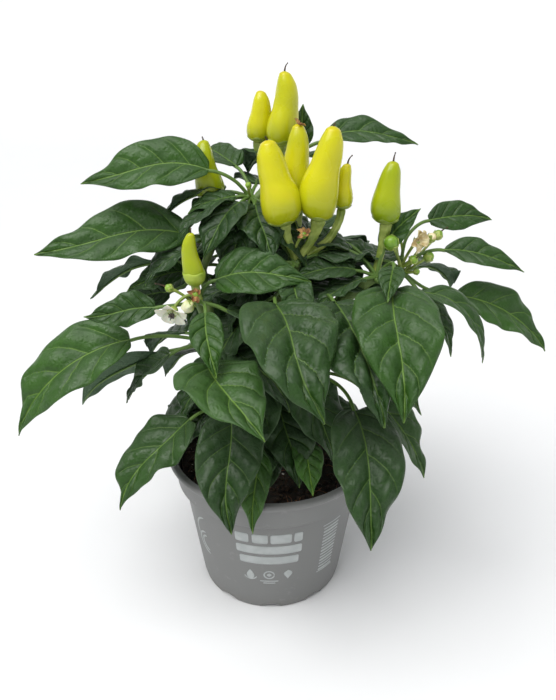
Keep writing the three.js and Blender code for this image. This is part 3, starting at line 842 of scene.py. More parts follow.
def walked(start, length, bearings, slopes, steps=24):
    """A path that turns evenly from one bearing and slope to another."""
    places = [start]
    for i in range(1, steps + 1):
        k = i / steps
        bearing = bearings[0] + (bearings[1] - bearings[0]) * k
        slope = slopes[0] + (slopes[1] - slopes[0]) * k
        places.append(places[-1] + direction(bearing, slope) * length / steps)
    return np.array(places)


def inner_leaf_path(start, stalk, blade):
    bearing, rise, reach = stalk
    heading, slope0, slope1, length, width, roll, turn = blade
    nearest = bearing + (heading - bearing + 180) % 360 - 180
    petiole = walked(start, reach * MM, (bearing, nearest), (rise, slope0))
    path = walked(petiole[-1], length * MM, (heading, heading + turn), (slope0, slope1))
    stations = np.array([2, 5, 8, 12, 16, 20, 22])
    ups = []
    for k in stations / 24:
        along = direction(heading + turn * k, slope0 + (slope1 - slope0) * k)
        right = direction(heading + turn * k - 90, 0)
        upward = np.cross(right, along)
        ups.append(upward * math.cos(math.radians(roll)) + right * math.sin(math.radians(roll)))
    halves = blade_outline(stations / 24) * width * MM / 2
    line = np.array([path[0], *path[stations], path[-1]])
    return petiole[[0, 8, 16, 24]], line, np.array(ups), halves


def grow_leaves():
    """A fine leaf along the path of every CAD leaf."""
    nodes = [node for node in frame["nodes"] if node.startswith("leaf_")]
    for number, node in enumerate(sorted(nodes)):
        rng = random.Random(100 + number)
        name = node[len("leaf_"):]
        parts = leaf_parts(*leaf_path(node), rng, QUILTED.get(name, 1.0))
        make_leaf("blade_" + name, [parts], [LEAF_TONES_AND_SHADE.get(name, LEAF_TONE)], [node])


def grow_inner_leaves():
    """The leaves that aren't in the CAD, each from a CAD leaf's first place."""
    for number, (anchor, stalk, blade, tone) in enumerate(INNER_LEAVES):
        rng = random.Random(500 + number)
        start = leaf_path("leaf_" + anchor)[0][0]
        parts = leaf_parts(*inner_leaf_path(start, stalk, blade), rng)
        make_leaf(f"inner_blade_{number + 1}", [parts], [tone])


# ---------------------------------------------------------------- peppers

def fruit_path(node, count):
    rings, tip = rings_of(node, count)
    centres = np.array([ring.mean(0) for ring in rings])
    radii = np.array([np.linalg.norm(ring - ring.mean(0), axis=1).mean() for ring in rings])
    return centres[:STALK_RINGS], centres[STALK_RINGS:], radii[STALK_RINGS:], tip


class Fruit:
    """A fruit's surface: rounded shoulders, a soft waist, faint lobes, and a blunt tip."""

    def __init__(self, centres, radii, tip, rng):
        line = np.vstack([centres, tip])
        run = lengths_along(line)
        self.length = run[-1]
        self.line, self.knots, self.radii = line, run / run[-1], radii
        self.waist = rng.uniform(0.03, 0.075)
        self.waist_at = rng.uniform(0.5, 0.6)
        self.bend = rng.uniform(0.02, 0.05) * rng.choice((-1, 1)) * self.length
        self.sway = rng.uniform(0.012, 0.028) * rng.choice((-1, 1)) * self.length
        self.turn = rng.uniform(0, 6.3)

    def spine(self, t):
        spine = hermite(self.knots, self.line, t)
        _, right, up = frames_along(spine)
        bow = (self.bend * np.sin(np.pi * t) + self.sway * np.sin(2 * np.pi * t))[:, None]
        spine = spine + (right * math.cos(self.turn) + up * math.sin(self.turn)) * bow
        return spine, right, up

    def reach(self, t, angles):
        blunt_from = self.knots[-2]
        blunt = self.radii[-1] * np.sqrt(np.clip((1 - t) / (1 - blunt_from), 0, 1))
        radius = np.where(t > blunt_from, blunt, hermite(self.knots[:-1], self.radii, t))
        shoulder = np.clip(t / 0.035, 0, 1)
        radius = radius * np.sqrt(1 - (1 - shoulder) ** 2 * 0.98)
        radius = radius * (1 - self.waist * np.exp(-((t - self.waist_at) / 0.13) ** 2))
        turn, column = self.turn, t[:, None]
        lobes = 1 + 0.025 * np.cos(3 * angles + turn + column) + 0.012 * np.cos(2 * angles + 2 * turn)
        dents = 0.013 * wave([turn, 2 * turn, 1.0], 5 * column + 1.4 * np.sin(angles + turn))
        return radius[:, None] * (lobes + dents)

    def body(self):
        t = 0.5 - 0.5 * np.cos(np.pi * np.linspace(0, 1, FRUIT_ROWS))
        angles = full_turn(FRUIT_SIDES)
        spine, right, up = self.spine(t)
        body = spine[:, None] + round_ring(right, up, angles) * self.reach(t, angles[None])[..., None]
        vertices = np.vstack([body.reshape(-1, 3), spine[0], spine[-1]])
        along = np.concatenate([np.repeat(t, FRUIT_SIDES), [0, 1]])
        return vertices, tube_faces(FRUIT_ROWS, FRUIT_SIDES), along

    def calyx(self, neck, tall, tooth):
        """A close green cap round the fruit's base. Its five teeth take up the share tooth of it."""
        angles = full_turn(CALYX_SIDES)[None]
        fine = np.linspace(0, 1, 200)
        spine, right, up = self.spine(fine)
        reach = self.reach(fine, angles)
        teeth = 0.5 + 0.5 * np.cos(5 * angles[0] + self.turn)
        depth = tall / self.length
        rim = depth * (1 - tooth + tooth * teeth)
        rows = []
        for share, proud in [(k, 0.42) for k in (0.02, 0.12, 0.3, 0.5, 0.7, 0.86, 0.96)] + [
                (1.0, 0.2), (0.94, -0.2), (0.6, -0.3), (0.2, -0.3)]:
            index = np.clip((rim * share * 199).round().astype(int), 0, 199)
            columns = np.arange(angles.shape[1])
            along = rim * share * 199
            low = np.clip(np.floor(along).astype(int), 0, 198)
            part = (along - low)[:, None]
            centre = spine[low] * (1 - part) + spine[low + 1] * part
            wide = reach[low, columns] * (1 - part[:, 0]) + reach[low + 1, columns] * part[:, 0]
            wide = np.maximum(wide, neck * 0.6) + proud * MM
            ring = right[index] * np.cos(angles).T + up[index] * np.sin(angles).T
            rows.append(centre + ring * wide[:, None])
        axis = unit(spine[1] - spine[0])
        grid = np.array(rows)
        grid[0] -= axis * 0.5 * MM
        ends = [spine[0] - axis * 0.9 * MM, spine[0] + axis * 0.4 * MM]
        return np.vstack([grid.reshape(-1, 3), ends]), tube_faces(len(grid), CALYX_SIDES)


def fruit_stalk(stalk, base, axis, neck):
    """A stalk that thickens into the fruit's cap. It starts inside the stem's skin."""
    line = np.vstack([from_inside(stalk), stalk, base - axis * 0.3 * MM])
    run = lengths_along(line)
    fine = np.linspace(0, run[-1], 34)
    portion = fine / run[-1]
    radius = PEDICEL_RADIUS + (neck - PEDICEL_RADIUS) * portion ** 3
    radius = radius * (1 + 0.3 * np.exp(-fine / (3 * MM))) * (1 + 0.03 * np.sin(fine * 1500))
    return tube(hermite(run, line, fine), radius, 30, STALK_RIDGE)


def style_thread(tip, axis, rng, length):
    """The dried thread left at the fruit's tip."""
    side = unit(np.array([rng.uniform(-1, 1), rng.uniform(-1, 1), 0.2]))
    a = tip - axis * 0.6 * MM
    b = tip + axis * length * 0.4
    c = tip + axis * length * 0.7 + side * length * 0.15
    d = tip + axis * length * 0.85 + side * length * 0.5
    radii = np.linspace(0.55, 0.22, 14) * MM
    radii[-2:] = 0.38 * MM
    return tube(bezier(a, b, c, d, 14), radii, 8)


# Fruits whose cap is a deep pale cup, with its height and its teeth' share of it
DEEP_CUPS = {"small_left": (8.0 * MM, 0.07, PALE_CALYX)}
# How long the dried thread at each fruit's tip is, in millimetres
THREADS = {
    "top": 4.2, "right": 4.2, "small_right": 4.2, "small_left": 1.8,
    "front_left": 1.8, "front_right": 1.4, "left": 1.6,
}


def grow_peppers():
    """Each pepper's body, stalk and cap, and the dried thread at its tip if it has one."""
    slots = {entry["node"]: entry["material_slot"] for entry in frame["record"]["subparts"]}
    nodes = [node for node in frame["nodes"] if node.startswith("pepper_")]
    for number, node in enumerate(sorted(nodes)):
        rng = random.Random(300 + number)
        short = node[len("pepper_"):]
        stalk, centres, radii, tip = fruit_path(node, FRUIT_RING)
        fruit = Fruit(centres, radii, tip, rng)
        vertices, faces, along = fruit.body()
        slot = slots[node]
        piece = make_object("fruit_" + short, vertices, faces, PEPPER_SKINS[slot], slot, [node])
        vertex_values(piece, "along", along)
        axis = unit(centres[1] - centres[0])
        neck = min(PEDICEL_RADIUS * 2.0, radii.max() * 0.42)
        make_object("stalk_" + short, *fruit_stalk(stalk, centres[0], axis, neck), FRUIT_STALK, "fruit_stalk")
        usual = min(CALYX_DEPTH, 0.12 * fruit.length)
        tall, tooth, skin = DEEP_CUPS.get(short, (usual, CALYX_TOOTH, FRUIT_STALK))
        make_object("calyx_" + short, *fruit.calyx(neck, tall, tooth), skin, "fruit_stalk")
        if short in THREADS:
            thread = style_thread(tip, unit(tip - centres[-2]), rng, THREADS[short] * MM)
            make_object("style_" + short, *thread, DRIED_STYLE, "withered_petal")


# ---------------------------------------------------------------- stem

def grow_stem():
    """The CAD stem, remeshed and smoothed into one grown skin."""
    source = frame["nodes"]["stem"].data.copy()
    piece = bpy.data.objects.new("stem_skin", source)
    bpy.context.scene.collection.objects.link(piece)
    piece.data.materials.clear()
    weld = piece.modifiers.new("weld", "WELD")
    weld.merge_threshold = 0.01 * MM
    remesh = piece.modifiers.new("remesh", "REMESH")
    remesh.mode = "VOXEL"
    remesh.voxel_size = STEM_VOXEL
    smooth = piece.modifiers.new("smooth", "SMOOTH")
    smooth.factor = 0.5
    smooth.iterations = 7
    graph = bpy.context.evaluated_depsgraph_get()
    skin = bpy.data.meshes.new_from_object(piece.evaluated_get(graph))
    piece.modifiers.clear()
    piece.data = skin
    places = [v.co.copy() for v in skin.vertices]
    normals = [v.vector.copy() for v in skin.vertex_normals]
    for vertex, place, normal in zip(skin.vertices, places, normals):
        ripple = noise.noise(place * 260) * STEM_RIPPLE
        vertex.co = place + normal * (ripple + STEM_PROUD)
    skin.shade_smooth()
    skin.materials.append(stem_material())
    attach(piece, BODY)
    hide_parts("stem")


# ---------------------------------------------------------------- pot and soil

def pot_profile():
    """The pot's section as (radius, height), from the floor's centre round the lip and back inside."""
    rim, height = POT_RIM, POT_TOP.z
    base, step, step_at = POT_BASE, POT_STEP, POT_STEP_HEIGHT
    wall, floor = POT_WALL, POT_FLOOR
    band = step + 2 * MM
    lip_low = height - 5 * MM
    outside = [(0, 0), (base * 0.5, 0), (base - 2 * MM, 0)]
    outside += arc((base - 1.6 * MM, 1.6 * MM), 1.6 * MM, -90, 0, 5)
    outside += [(base + (step - base) * k, step_at * k) for k in np.linspace(0.06, 0.985, 12)]
    outside += arc((band - 0.7 * MM, step_at + 1.0 * MM), 0.7 * MM, -60, 0, 4)
    outside += [(rim - 3.6 * MM - 1.6 * MM * (1 - k), step_at + 1.6 * MM + (lip_low - step_at - 2.4 * MM) * k)
                for k in np.linspace(0.1, 1, 6)]
    outside += arc((rim - 1.9 * MM, height - 2.2 * MM), 1.9 * MM, -110, 80, 12)
    outside += arc((rim - 3.2 * MM, height - 1.2 * MM), 1.2 * MM, 95, 175, 5)
    inner_band = band - wall
    inside = [(rim - 4.6 * MM, height - 3 * MM), (inner_band + 0.4 * MM, step_at + 2 * MM)]
    inside += [(step - wall, step_at - 1 * MM), (base - wall, floor + 1 * MM)]
    inside += [(base - wall - 1.5 * MM, floor), (0, floor)]
    return outside + inside


def arc(centre, radius, start, end, count):
    angles = np.radians(np.linspace(start, end, count))
    return [(centre[0] + radius * math.cos(a), centre[1] + radius * math.sin(a)) for a in angles]


def spun(profile, sides):
    """A closed solid of revolution. The profile starts and ends on the axis."""
    rings = profile[1:-1]
    vertices = []
    for radius, height in rings:
        for k in range(sides):
            a = 2 * math.pi * k / sides
            vertices.append((radius * math.cos(a), radius * math.sin(a), height))
    vertices += [(0, 0, profile[0][1]), (0, 0, profile[-1][1])]
    return vertices, tube_faces(len(rings), sides)


def make_pot():
    """The turned pot, with drain notches cut into its bottom edge."""
    vertices, faces = spun(pot_profile(), POT_SIDES)
    pot = make_object("nursery_pot", vertices, faces, pot_material(), "pot_plastic", ["pot"])
    cutters = bmesh.new()
    for k in range(NOTCH_COUNT):
        turn = Matrix.Rotation(2 * math.pi * (k + 0.5) / NOTCH_COUNT, 4, "Z")
        place = turn @ Matrix.Translation((POT_BASE - 1 * MM, 0, -NOTCH_DROP))
        place = place @ Matrix.Rotation(math.pi / 2, 4, "Y")
        bmesh.ops.create_cone(
            cutters, cap_ends=True, segments=48, matrix=place,
            radius1=NOTCH_RADIUS, radius2=NOTCH_RADIUS, depth=12 * MM)
    mesh = bpy.data.meshes.new("notches")
    cutters.to_mesh(mesh)
    cutters.free()
    cutter = bpy.data.objects.new("notches", mesh)
    bpy.context.scene.collection.objects.link(cutter)
    cut = pot.modifiers.new("cut", "BOOLEAN")
    cut.operation = "DIFFERENCE"
    cut.solver = "EXACT"
    cut.object = cutter
    graph = bpy.context.evaluated_depsgraph_get()
    finished = bpy.data.meshes.new_from_object(pot.evaluated_get(graph))
    pot.modifiers.clear()
    pot.data = finished
    bpy.data.objects.remove(cutter)
    finished.shade_smooth()
    finished.set_sharp_from_angle(angle=math.radians(38))


def pot_surface(bearing, height, proud):
    """A place on the pot's tapering side."""
    radius = POT_BASE + (POT_STEP - POT_BASE) * height / POT_STEP_HEIGHT + proud
    return (radius * math.cos(bearing), radius * math.sin(bearing), height)


def printed(mark, bearing, height):
    """A thin printed patch on the pot's side. A mark is a line in millimetres with half widths."""
    path, halves = mark
    path = np.asarray(path, float)
    along = unit(np.gradient(path, axis=0))
    across = np.stack([-along[:, 1], along[:, 0]], axis=1)
    radius = math.hypot(*pot_surface(0, height * MM, 0)[:2]) / MM
    sheets = []
    for proud in (0.09, -0.15):
        grid = []
        for place, way, half in zip(path, across, halves):
            row = [place + way * half * k for k in np.linspace(-1, 1, 7)]
            grid.append([
                pot_surface(math.radians(bearing) + u / radius, (height + w) * MM, proud * MM)
                for u, w in row])
        sheets.append(np.array(grid))
    return closed_sheet(sheets[0], sheets[1])


def rounded_bar(width, tall, centre=(0, 0)):
    corner = min(1.2, tall / 2.2)
    inset = np.array([0, 0.02, 0.08, 0.2, 0.4, 0.7, 1.0]) * corner
    x = np.concatenate([inset - width / 2, np.linspace(corner - width / 2, width / 2 - corner, 12)[1:-1],
                        (width / 2 - inset)[::-1]])
    gap = np.clip((width / 2 - np.abs(x)) / corner, 0, 1)
    halves = tall / 2 - corner * (1 - np.sqrt(1 - (1 - gap) ** 2))
    return np.stack([x + centre[0], 0 * x + centre[1]], axis=1), halves


def lens(tall, wide, power, centre=(0, 0)):
    """A leaf, disc or drop shape, upright."""
    t = np.linspace(0, 1, 22)
    halves = wide / 2 * np.sin(np.pi * t ** power) ** 0.9 + 0.02
    return np.stack([0 * t + centre[0], (t - 0.5) * tall + centre[1]], axis=1), np.clip(halves, 0.02, None)


def arc_stroke(radius, start, end, half, centre=(0, 0)):
    angles = np.radians(np.linspace(start, end, 28))
    path = np.stack([radius * np.cos(angles), radius * np.sin(angles)], axis=1) + centre
    taper = np.sqrt(np.clip(np.sin(np.linspace(0.02, np.pi - 0.02, 28)) * 3, 0, 1))
    return path, half * taper + 0.02


def print_pot():
    """Generic marks only: plain bars, three simple shapes, a striped patch and some arcs."""
    front = [rounded_bar(w, 7.4, (x, 19)) for w, x in ((8, -15.5), (9, -5), (12, 7), (5, 17))]
    front += [rounded_bar(39, 6.8, (0, 9.5)), rounded_bar(36, 6.4, (0, 0.5))]
    front += [lens(8.5, 5, 0.75, (-12, -13)), arc_stroke(4.2, 200, 340, 0.4, (-12, -13))]
    front += [arc_stroke(3.2, 0, 359, 0.45, (0, -12.5)), lens(3, 3, 1.0, (0, -12.5))]
    front += [lens(8, 5.4, 1.5, (12, -13)), rounded_bar(12, 0.8, (0, -18.2)), rounded_bar(8, 0.8, (0, -20))]
    marks = [printed(mark, -91, 44) for mark in front]
    stripes = [rounded_bar(12, (1.1, 1.6, 1.1)[k % 3], (0, 17.6 - 2.75 * k)) for k in range(14)]
    stripes += [rounded_bar(14, 0.7, (0, z)) for z in (20.5, -19.8)]
    marks += [printed(mark, -47, 44) for mark in stripes]
    curves = [arc_stroke(r, 100, 265, 0.6, (2, 0)) for r in (6, 9)] + [arc_stroke(14, 110, 200, 0.6, (6, 8))]
    marks += [printed(mark, -140, 42) for mark in curves]
    make_object("pot_marks", *joined(marks), PRINT, "pot_plastic")


def make_soil():
    """Peat with a rough top: clods, and a skirt down inside the pot."""
    low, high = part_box("soil")
    top, bottom = high.z - SOIL_SINK, low.z
    edge = high.x - SOIL_GAP
    base = POT_BASE - 3.2 * MM
    profile = [(0, bottom), (base - 2 * MM, bottom), (base, bottom + 2 * MM)]
    profile += [(edge - 3.5 * MM, top - 12 * MM)]
    profile += [(edge * (1 - k / SOIL_RINGS), top) for k in range(SOIL_RINGS)]
    profile += [(0, top)]
    vertices, faces = spun(profile, SOIL_SIDES)
    moved = []
    for x, y, z in vertices:
        if z > top - 1 * MM:
            reach = math.hypot(x, y) / edge
            spot = Vector((x, y, 0))
            clods = sum(noise.noise(spot * scale) * tall for scale, tall in SOIL_CLODS)
            mound = SOIL_MOUND * (1 - reach)
            z += (clods * (0.35 + 0.65 * min(1, (1 - reach) * 8)) + mound) * MM
        moved.append((x, y, min(z, top + 3.4 * MM)))
    make_object("soil_ball", moved, faces, soil_material(), "potting_soil", ["soil"])
    scatter_soil(top, edge)


def lump(rng, size, squash=1.0):
    """A small uneven crumb."""
    ball = bmesh.new()
    bmesh.ops.create_icosphere(ball, subdivisions=1, radius=size)
    shift = Vector([rng.uniform(-9, 9) for _ in range(3)])
    for vertex in ball.verts:
        vertex.co *= 1 + 0.55 * noise.noise(vertex.co / size * 1.3 + shift)
        vertex.co.z *= squash
    vertices = [tuple(v.co) for v in ball.verts]
    faces = [tuple(v.index for v in f.verts) for f in ball.faces]
    ball.free()
    return np.array(vertices), faces


def scatter_soil(top, edge):
    """Peat crumbs, pale perlite grains and brown fibres lying on the soil."""
    rng = random.Random(7)
    kinds = {"crumbs": [], "perlite": [], "fibres": []}
    for _ in range(CRUMB_COUNT):
        kind = "perlite" if rng.random() < PERLITE_SHARE else "crumbs"
        reach = edge * 0.97 * math.sqrt(rng.uniform(0.02, 1))
        a = rng.uniform(0, 2 * math.pi)
        size = rng.uniform(0.5, 1.0) * MM if kind == "perlite" else rng.uniform(0.5, 1.7) * MM
        vertices, faces = lump(rng, size, rng.uniform(0.6, 1.0))
        spot = np.array([reach * math.cos(a), reach * math.sin(a), top + rng.uniform(0.2, 1.6) * MM])
        kinds[kind].append((vertices + spot, faces))
    for _ in range(FIBRE_COUNT):
        reach = edge * 0.93 * math.sqrt(rng.uniform(0.05, 1))
        a, heading = rng.uniform(0, 2 * math.pi), rng.uniform(0, 2 * math.pi)
        start = np.array([reach * math.cos(a), reach * math.sin(a), top + 1.6 * MM])
        step = np.array([math.cos(heading), math.sin(heading), 0]) * rng.uniform(3, 8) * MM
        step = -step if np.linalg.norm((start + step)[:2]) > edge * 0.97 else step
        rise = np.array([0, 0, rng.uniform(0.2, 1.6) * MM])
        across = np.array([-step[1], step[0], 0]) * rng.uniform(-0.4, 0.4)
        line = bezier(start, start + step * 0.3 + rise, start + step * 0.7 + across + rise, start + step, 8)
        kinds["fibres"].append(tube(line, rng.uniform(0.12, 0.28) * MM, 5))
    crumb = mottled_material("peat_crumb", rgb(0.008, 0.005, 0.003), rgb(0.06, 0.032, 0.016), 400, 0.85, 0.6)
    grain = mottled_material("perlite", rgb(0.5, 0.47, 0.42), rgb(0.78, 0.76, 0.72), 500, 0.8, 0.5)
    fibre = mottled_material("soil_fibre", rgb(0.1, 0.035, 0.015), rgb(0.28, 0.12, 0.05), 300, 0.8, 0.4)
    make_object("soil_crumbs", *joined(kinds["crumbs"]), crumb, "potting_soil")
    make_object("soil_perlite", *joined(kinds["perlite"]), grain, "potting_soil")
    make_object("soil_fibres", *joined(kinds["fibres"]), fibre, "potting_soil")


# ---------------------------------------------------------------- flowers, buds and fruitlets

def ball(centre, axis, radius, stretch=1.0, lobes=0, depth=0.0, rows=20, sides=32):
    """A round body along an axis, with optional lobes. Its first pole faces the stalk."""
    axis = unit(np.asarray(axis, float))
    right, up = sides_of(axis)
    turns = np.linspace(0, np.pi, rows + 2)[1:-1]
    angles = full_turn(sides)
    reach = np.sin(turns)[:, None] * (1 + depth * np.cos(lobes * angles))[None]
    body = centre + radius * reach[..., None] * round_ring(right, up, angles)[None]
    body = body - axis * (radius * stretch * np.cos(turns))[:, None, None]
    ends = [centre - axis * radius * stretch, centre + axis * radius * stretch]
    return np.vstack([body.reshape(-1, 3), ends]), tube_faces(rows, sides)


def small_calyx(centre, axis, radius):
    """A little green cup with short teeth."""
    axis = unit(np.asarray(axis, float))
    right = unit(np.cross(axis, (0.4, 0.5, 0.23)))
    up = np.cross(axis, right)
    angles = full_turn(CUP_SIDES)
    tooth = 0.5 + 0.5 * np.cos(PETALS * angles)
    ring = round_ring(right, up, angles)
    rows = []
    for inset, order in ((0.0, np.linspace(0, 1, 6)), (0.22 * MM, np.linspace(1, 0, 6))):
        for k in order:
            spread = radius * (0.3 + 0.74 * k ** 0.6) - inset
            rise = radius * (-0.95 + k ** 1.6 * (0.75 + 0.55 * tooth)) + inset
            rows.append(centre + ring * spread + axis * rise[:, None])
    grid = np.array(rows)
    ends = [centre - axis * radius * 0.97, centre - axis * (radius * 0.95 - 0.25 * MM)]
    return np.vstack([grid.reshape(-1, 3), ends]), tube_faces(len(grid), CUP_SIDES)


def stalked(stalk, centre, radius):
    """A stalk's tube up to the body at centre."""
    line = np.vstack([from_inside(stalk), stalk, centre - unit(centre - stalk[-1]) * radius * 0.85])
    run = lengths_along(line)
    fine = hermite(run, line, np.linspace(0, run[-1], 18))
    return tube(fine, np.linspace(0.75, 0.95, 18) * MM, 10)


def bud_place(node):
    """A CAD bud's stalk, its middle, its axis, its radius and its tip."""
    stalk, centres, radii, tip = fruit_path(node, BUD_RING)
    return stalk, (centres[0] + tip) / 2, unit(tip - centres[0]), radii.max(), tip


def grow_fruitlets():
    for node in ("fruitlet_left", "fruitlet_right", "fruitlet_right_low"):
        stalk, centre, axis, radius, tip = bud_place(node)
        body = ball(centre, axis, radius, 0.95, 3, 0.02)
        make_object(node + "_berry", *body, FRUITLET_SKIN, "fruitlet_green", [node])
        green = joined([stalked(stalk, centre, radius), small_calyx(centre, axis, radius * 1.04)])
        make_object(node + "_stalk", *green, FRUIT_STALK, "fruit_stalk")
        line = bezier(*(tip + axis * reach * MM for reach in (-0.4, 1, 1.6, 2.2)), 8)
        scar = tube(line, np.linspace(0.4, 0.2, 8) * MM, 7)
        make_object(node + "_style", *scar, DRIED_STYLE, "withered_petal")


def grow_cream_bud():
    stalk, centre, axis, radius, _ = bud_place("bud_cream")
    vertices, faces = ball(centre, axis, radius, 1.05, PETALS, 0.1)
    bud = make_object("bud_cream_petals", vertices, faces, PETAL, "petal_white", ["bud_cream"])
    vertex_values(bud, "along", 0.25 * (((vertices - centre) @ axis) / radius * 0.5 + 0.5))
    green = joined([stalked(stalk, centre, radius), small_calyx(centre, axis, radius * 1.02)])
    make_object("bud_cream_stalk", *green, FRUIT_STALK, "fruit_stalk")


def petal_sheet(centre, axis, bearing, length, width, opening, curl=0.3):
    """One petal: broad at the throat, pointed, curling back at its tip."""
    right, up = sides_of(axis)
    out = right * math.cos(bearing) + up * math.sin(bearing)
    across = np.cross(axis, out)
    t = np.linspace(0, 1, 17)
    v = np.linspace(-1, 1, 11)
    reach = length * (t * math.sin(opening) + 0.06)
    rise = length * (t * math.cos(opening) - curl * t ** 2.4)
    half = width / 2 * hermite((0, 0.2, 0.45, 0.7, 0.9, 1), (0.36, 0.72, 1.0, 0.86, 0.4, 0.03), t)
    cup = 0.2 * width * (v[None] ** 2) * np.sin(np.pi * t)[:, None]
    crease = -0.04 * width * np.exp(-(v[None] / 0.15) ** 2) * np.sin(np.pi * t)[:, None]
    grid = centre + out * reach[:, None, None] + axis * (rise[:, None] + cup + crease)[..., None]
    grid = grid + across * (half[:, None] * v[None])[..., None]
    skin = axis * PETAL_THICKNESS
    return closed_sheet(grid + skin, grid - skin), np.repeat(t, len(v))


def grow_open_flower():
    """A nodding white flower with five petals and a small cone of dark anthers."""
    low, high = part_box("flower_open")
    corners, _ = welded("flower_open")
    middle = np.array((low + high) / 2)
    start = max(corners, key=lambda c: np.linalg.norm(c - middle))
    axis = direction(256, -34)
    centre = middle + np.array([0, 0, 1.5]) * MM
    sheets, along = [], []
    for bearing in full_turn(PETALS) + 0.35:
        sheet, t = petal_sheet(centre, axis, bearing, 9.6 * MM, 7.4 * MM, math.radians(64), 0.12)
        sheets.append(sheet)
        along += [*t, *t]
    flower = make_object("flower_open_petals", *joined(sheets), PETAL, "petal_white", ["flower_open"])
    vertex_values(flower, "along", along)
    rise = np.array([0, 0, 5.5]) * MM
    bend = bezier(start, start + rise, centre - axis * 7 * MM, centre - axis * 0.8 * MM, 24)
    cup = small_calyx(centre + axis * 0.8 * MM, axis, 3.0 * MM)
    make_object("flower_open_stalk", *joined([tube(bend, 0.9 * MM, 10), cup]), FRUIT_STALK, "fruit_stalk")
    anthers = []
    for out in round_ring(*sides_of(axis), full_turn(PETALS) + math.pi / PETALS):
        place = centre + axis * 3.4 * MM + out * 1.1 * MM
        anthers.append(ball(place, axis, 0.6 * MM, 2.2, rows=8, sides=10))
    pistil = bezier(centre, centre + axis * MM, centre + axis * 3 * MM, centre + axis * 6 * MM, 8)
    anthers.append(tube(pistil, 0.28 * MM, 7))
    make_object("flower_open_anthers", *joined(anthers), ANTHER, "withered_petal")


def crumpled(centre, axis, size, rng, petals=PETALS):
    """A dried flower: petals shrunk and folded over each other."""
    sheets = []
    for k in range(petals):
        opening = math.radians(rng.uniform(25, 80))
        bearing = 2 * math.pi * k / petals + rng.uniform(-0.4, 0.4)
        (vertices, faces), _ = petal_sheet(centre, axis, bearing, size, size * 0.62, opening)
        shift = Vector([rng.uniform(-5, 5) for _ in range(3)])
        for i, p in enumerate(vertices):
            wrinkle = noise.noise_vector(Vector(p) * 420 + shift)
            vertices[i] = p + np.array(wrinkle) * 0.75 * MM
        sheets.append((vertices, faces))
    return joined(sheets)


def grow_withered_flower():
    stalk, centre, axis, _, _ = bud_place("flower_withered")
    rng = random.Random(41)
    body = crumpled(centre - axis * MM, unit(axis + direction(-60, -30) * 1.2), 8.0 * MM, rng, 6)
    make_object("flower_withered_petals", *body, CREAM, "withered_petal", ["flower_withered"])
    green = joined([stalked(stalk, centre, 1.8 * MM), small_calyx(centre - axis * 1.2 * MM, axis, 2.2 * MM)])
    make_object("flower_withered_stalk", *green, FRUIT_STALK, "fruit_stalk")


# Small buds and fading flowers: the CAD piece whose knot they share, the stalk's bearing, slope
# and length, the bud's radius in millimetres, and what it carries at its end.
SMALL_BUDS = (
    ("leaf_small_left", (170, 50, 13), 2.1, "thread"),
    ("pepper_small_left", (-110, 40, 6), 2.0, "dried"),
    ("pepper_left", (-10, 63, 14), 3.0, "bare"),
    ("leaf_upper_left", (-110, 55, 12), 1.6, "bare"),
    ("pepper_front_left", (-80, 72, 14), 1.9, "dried"),
    ("leaf_far_right", (10, 56, 27), 2.8, "thread"),
    ("leaf_far_right", (-20, 76, 23), 2.6, "yellow"),
    ("leaf_far_right", (-145, 68, 25), 4.0, "bare"),
    ("leaf_far_right", (-10, 46, 14), 2.9, "bare"),
    ("leaf_far_right", (95, 78, 34), 3.4, "bare"),
    ("leaf_far_right", (-50, 25, 6), 1.8, "bare"),
    ("leaf_back_high", (100, 60, 12), 2.1, "thread"),
    ("leaf_back_left_high", (120, 60, 12), 2.1, "bare"),
)


def first_place(node):
    """Where a CAD leaf or fruit leaves the stem."""
    count = LEAF_RING if node.startswith("leaf_") else FRUIT_RING
    return rings_of(node, count)[0][0].mean(0)


def grow_small_buds():
    """Each small bud on its stalk, with what it carries at its end."""
    for number, (anchor, (bearing, slope, length), size, kind) in enumerate(SMALL_BUDS):
        rng = random.Random(700 + number)
        start = first_place(anchor)
        inside = start - direction(bearing, slope) * STALK_INSET
        path = walked(inside, length * MM + STALK_INSET, (bearing, bearing + 25), (slope, slope * 0.6))
        axis = unit(path[-1] - path[-2])
        radius = size * MM
        centre = path[-1] + axis * radius * 0.9
        stalk = tube(path, np.linspace(0.65, 0.85, len(path)) * MM, 9)
        green = joined([stalk, small_calyx(centre, axis, radius * 1.08)])
        make_object(f"bud_stalk_{number + 1}", *green, FRUIT_STALK, "fruit_stalk")
        skin = CREAM if kind == "yellow" else FRUITLET_SKIN
        body = ball(centre, axis, radius, 1.12, 5, 0.03)
        make_object(f"bud_{number + 1}", *body, skin, "fruitlet_green")
        if kind == "thread":
            thread = style_thread(centre + axis * radius, axis, rng, 4.5 * MM)
            make_object(f"bud_style_{number + 1}", *thread, DRIED_STYLE, "withered_petal")
        elif kind == "dried":
            body = crumpled(centre + axis * radius * 0.5, axis, 4.6 * MM, rng)
            make_object(f"bud_remnant_{number + 1}", *body, WITHERED, "withered_petal")


def grow_tip_remnant():
    """The dried flower that still clings to the middle pepper's tip."""
    _, centres, _, tip = fruit_path("pepper_middle", FRUIT_RING)
    axis = unit(tip - centres[-2])
    body = crumpled(tip - axis * 0.8 * MM, unit(axis + direction(0, 0) * 0.8), 4.6 * MM, random.Random(61))
    make_object("tip_remnant", *body, WITHERED, "withered_petal")


# ---------------------------------------------------------------- studio

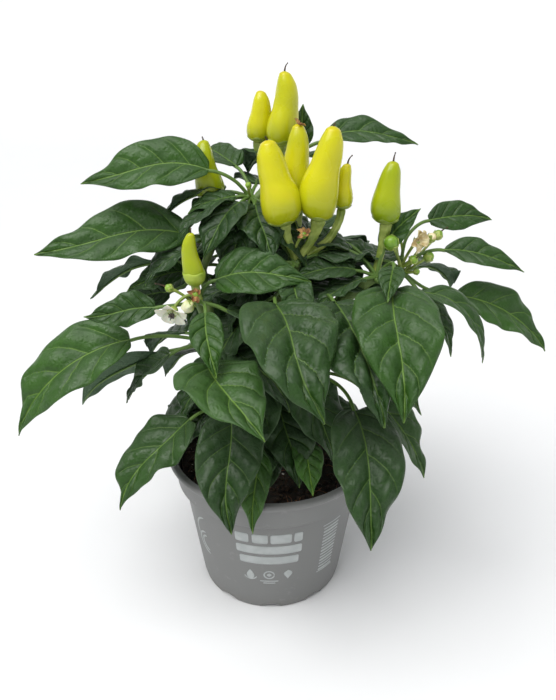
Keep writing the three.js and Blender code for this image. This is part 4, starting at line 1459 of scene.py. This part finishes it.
def make_studio():
    """A pale floor that curves up into a low wall all round, under one broad soft light."""
    bpy.context.scene.view_settings.view_transform = "Standard"
    flat, bend, sides = FLOOR_FLAT, FLOOR_BEND, 72
    section = [(flat * k / 6, 0) for k in range(1, 7)]
    rising = np.linspace(0.1, math.pi / 2, 14)
    section += [(flat + bend * math.sin(a), bend * (1 - math.cos(a))) for a in rising]
    section += [(flat + bend, bend + 0.5)]
    vertices, faces = spun([(0, 0), *section, (0, 0)], sides)
    last = len(vertices) - 1
    faces = [face for face in faces if last not in face]
    mesh = bpy.data.meshes.new("studio_floor")
    mesh.from_pydata(vertices[:-1], [], faces)
    mesh.shade_smooth()
    mesh.materials.append(floor_material())
    floor = bpy.data.objects.new("studio_floor", mesh)
    bpy.context.scene.collection.objects.link(floor)
    world = bpy.data.worlds.new("studio")
    bpy.context.scene.world = world
    world.use_nodes = True
    background = world.node_tree.nodes["Background"]
    background.inputs["Color"].default_value = rgb(0.97, 0.985, 1.0)
    background.inputs["Strength"].default_value = SKY_STRENGTH
    sky = bpy.data.lights.new("overhead", "SUN")
    sky.energy = OVERHEAD_STRENGTH
    sky.angle = math.radians(OVERHEAD_SPREAD)
    light = bpy.data.objects.new("overhead", sky)
    light.rotation_euler = (math.radians(18), math.radians(-14), 0)
    bpy.context.scene.collection.objects.link(light)
    add_light("key", (-0.6, -0.35, 1.1), 0.6, 3.0, (1.0, 0.985, 0.96))


def add_light(name, place, size, power, colour):
    lamp = bpy.data.lights.new(name, "AREA")
    lamp.energy = power
    lamp.size = size
    lamp.color = colour
    light = bpy.data.objects.new(name, lamp)
    light.location = place
    aim = Vector((0, 0, 0.17)) - Vector(place)
    light.rotation_euler = aim.to_track_quat("-Z", "Y").to_euler()
    bpy.context.scene.collection.objects.link(light)


def make_camera():
    data = bpy.data.cameras.new("camera")
    data.lens = CAMERA_LENS
    data.sensor_width = CAMERA_SENSOR
    data.clip_start = 0.01
    camera = bpy.data.objects.new("camera", data)
    camera.location = CAMERA_PLACE
    camera.rotation_euler = (math.radians(90 - CAMERA_DOWN), 0, 0)
    bpy.context.scene.collection.objects.link(camera)
    bpy.context.scene.camera = camera


make_studio()
make_camera()
make_pot()
print_pot()
make_soil()
grow_stem()
grow_leaves()
grow_inner_leaves()
grow_peppers()
grow_fruitlets()
grow_cream_bud()
grow_open_flower()
grow_withered_flower()
grow_small_buds()
grow_tip_remnant()
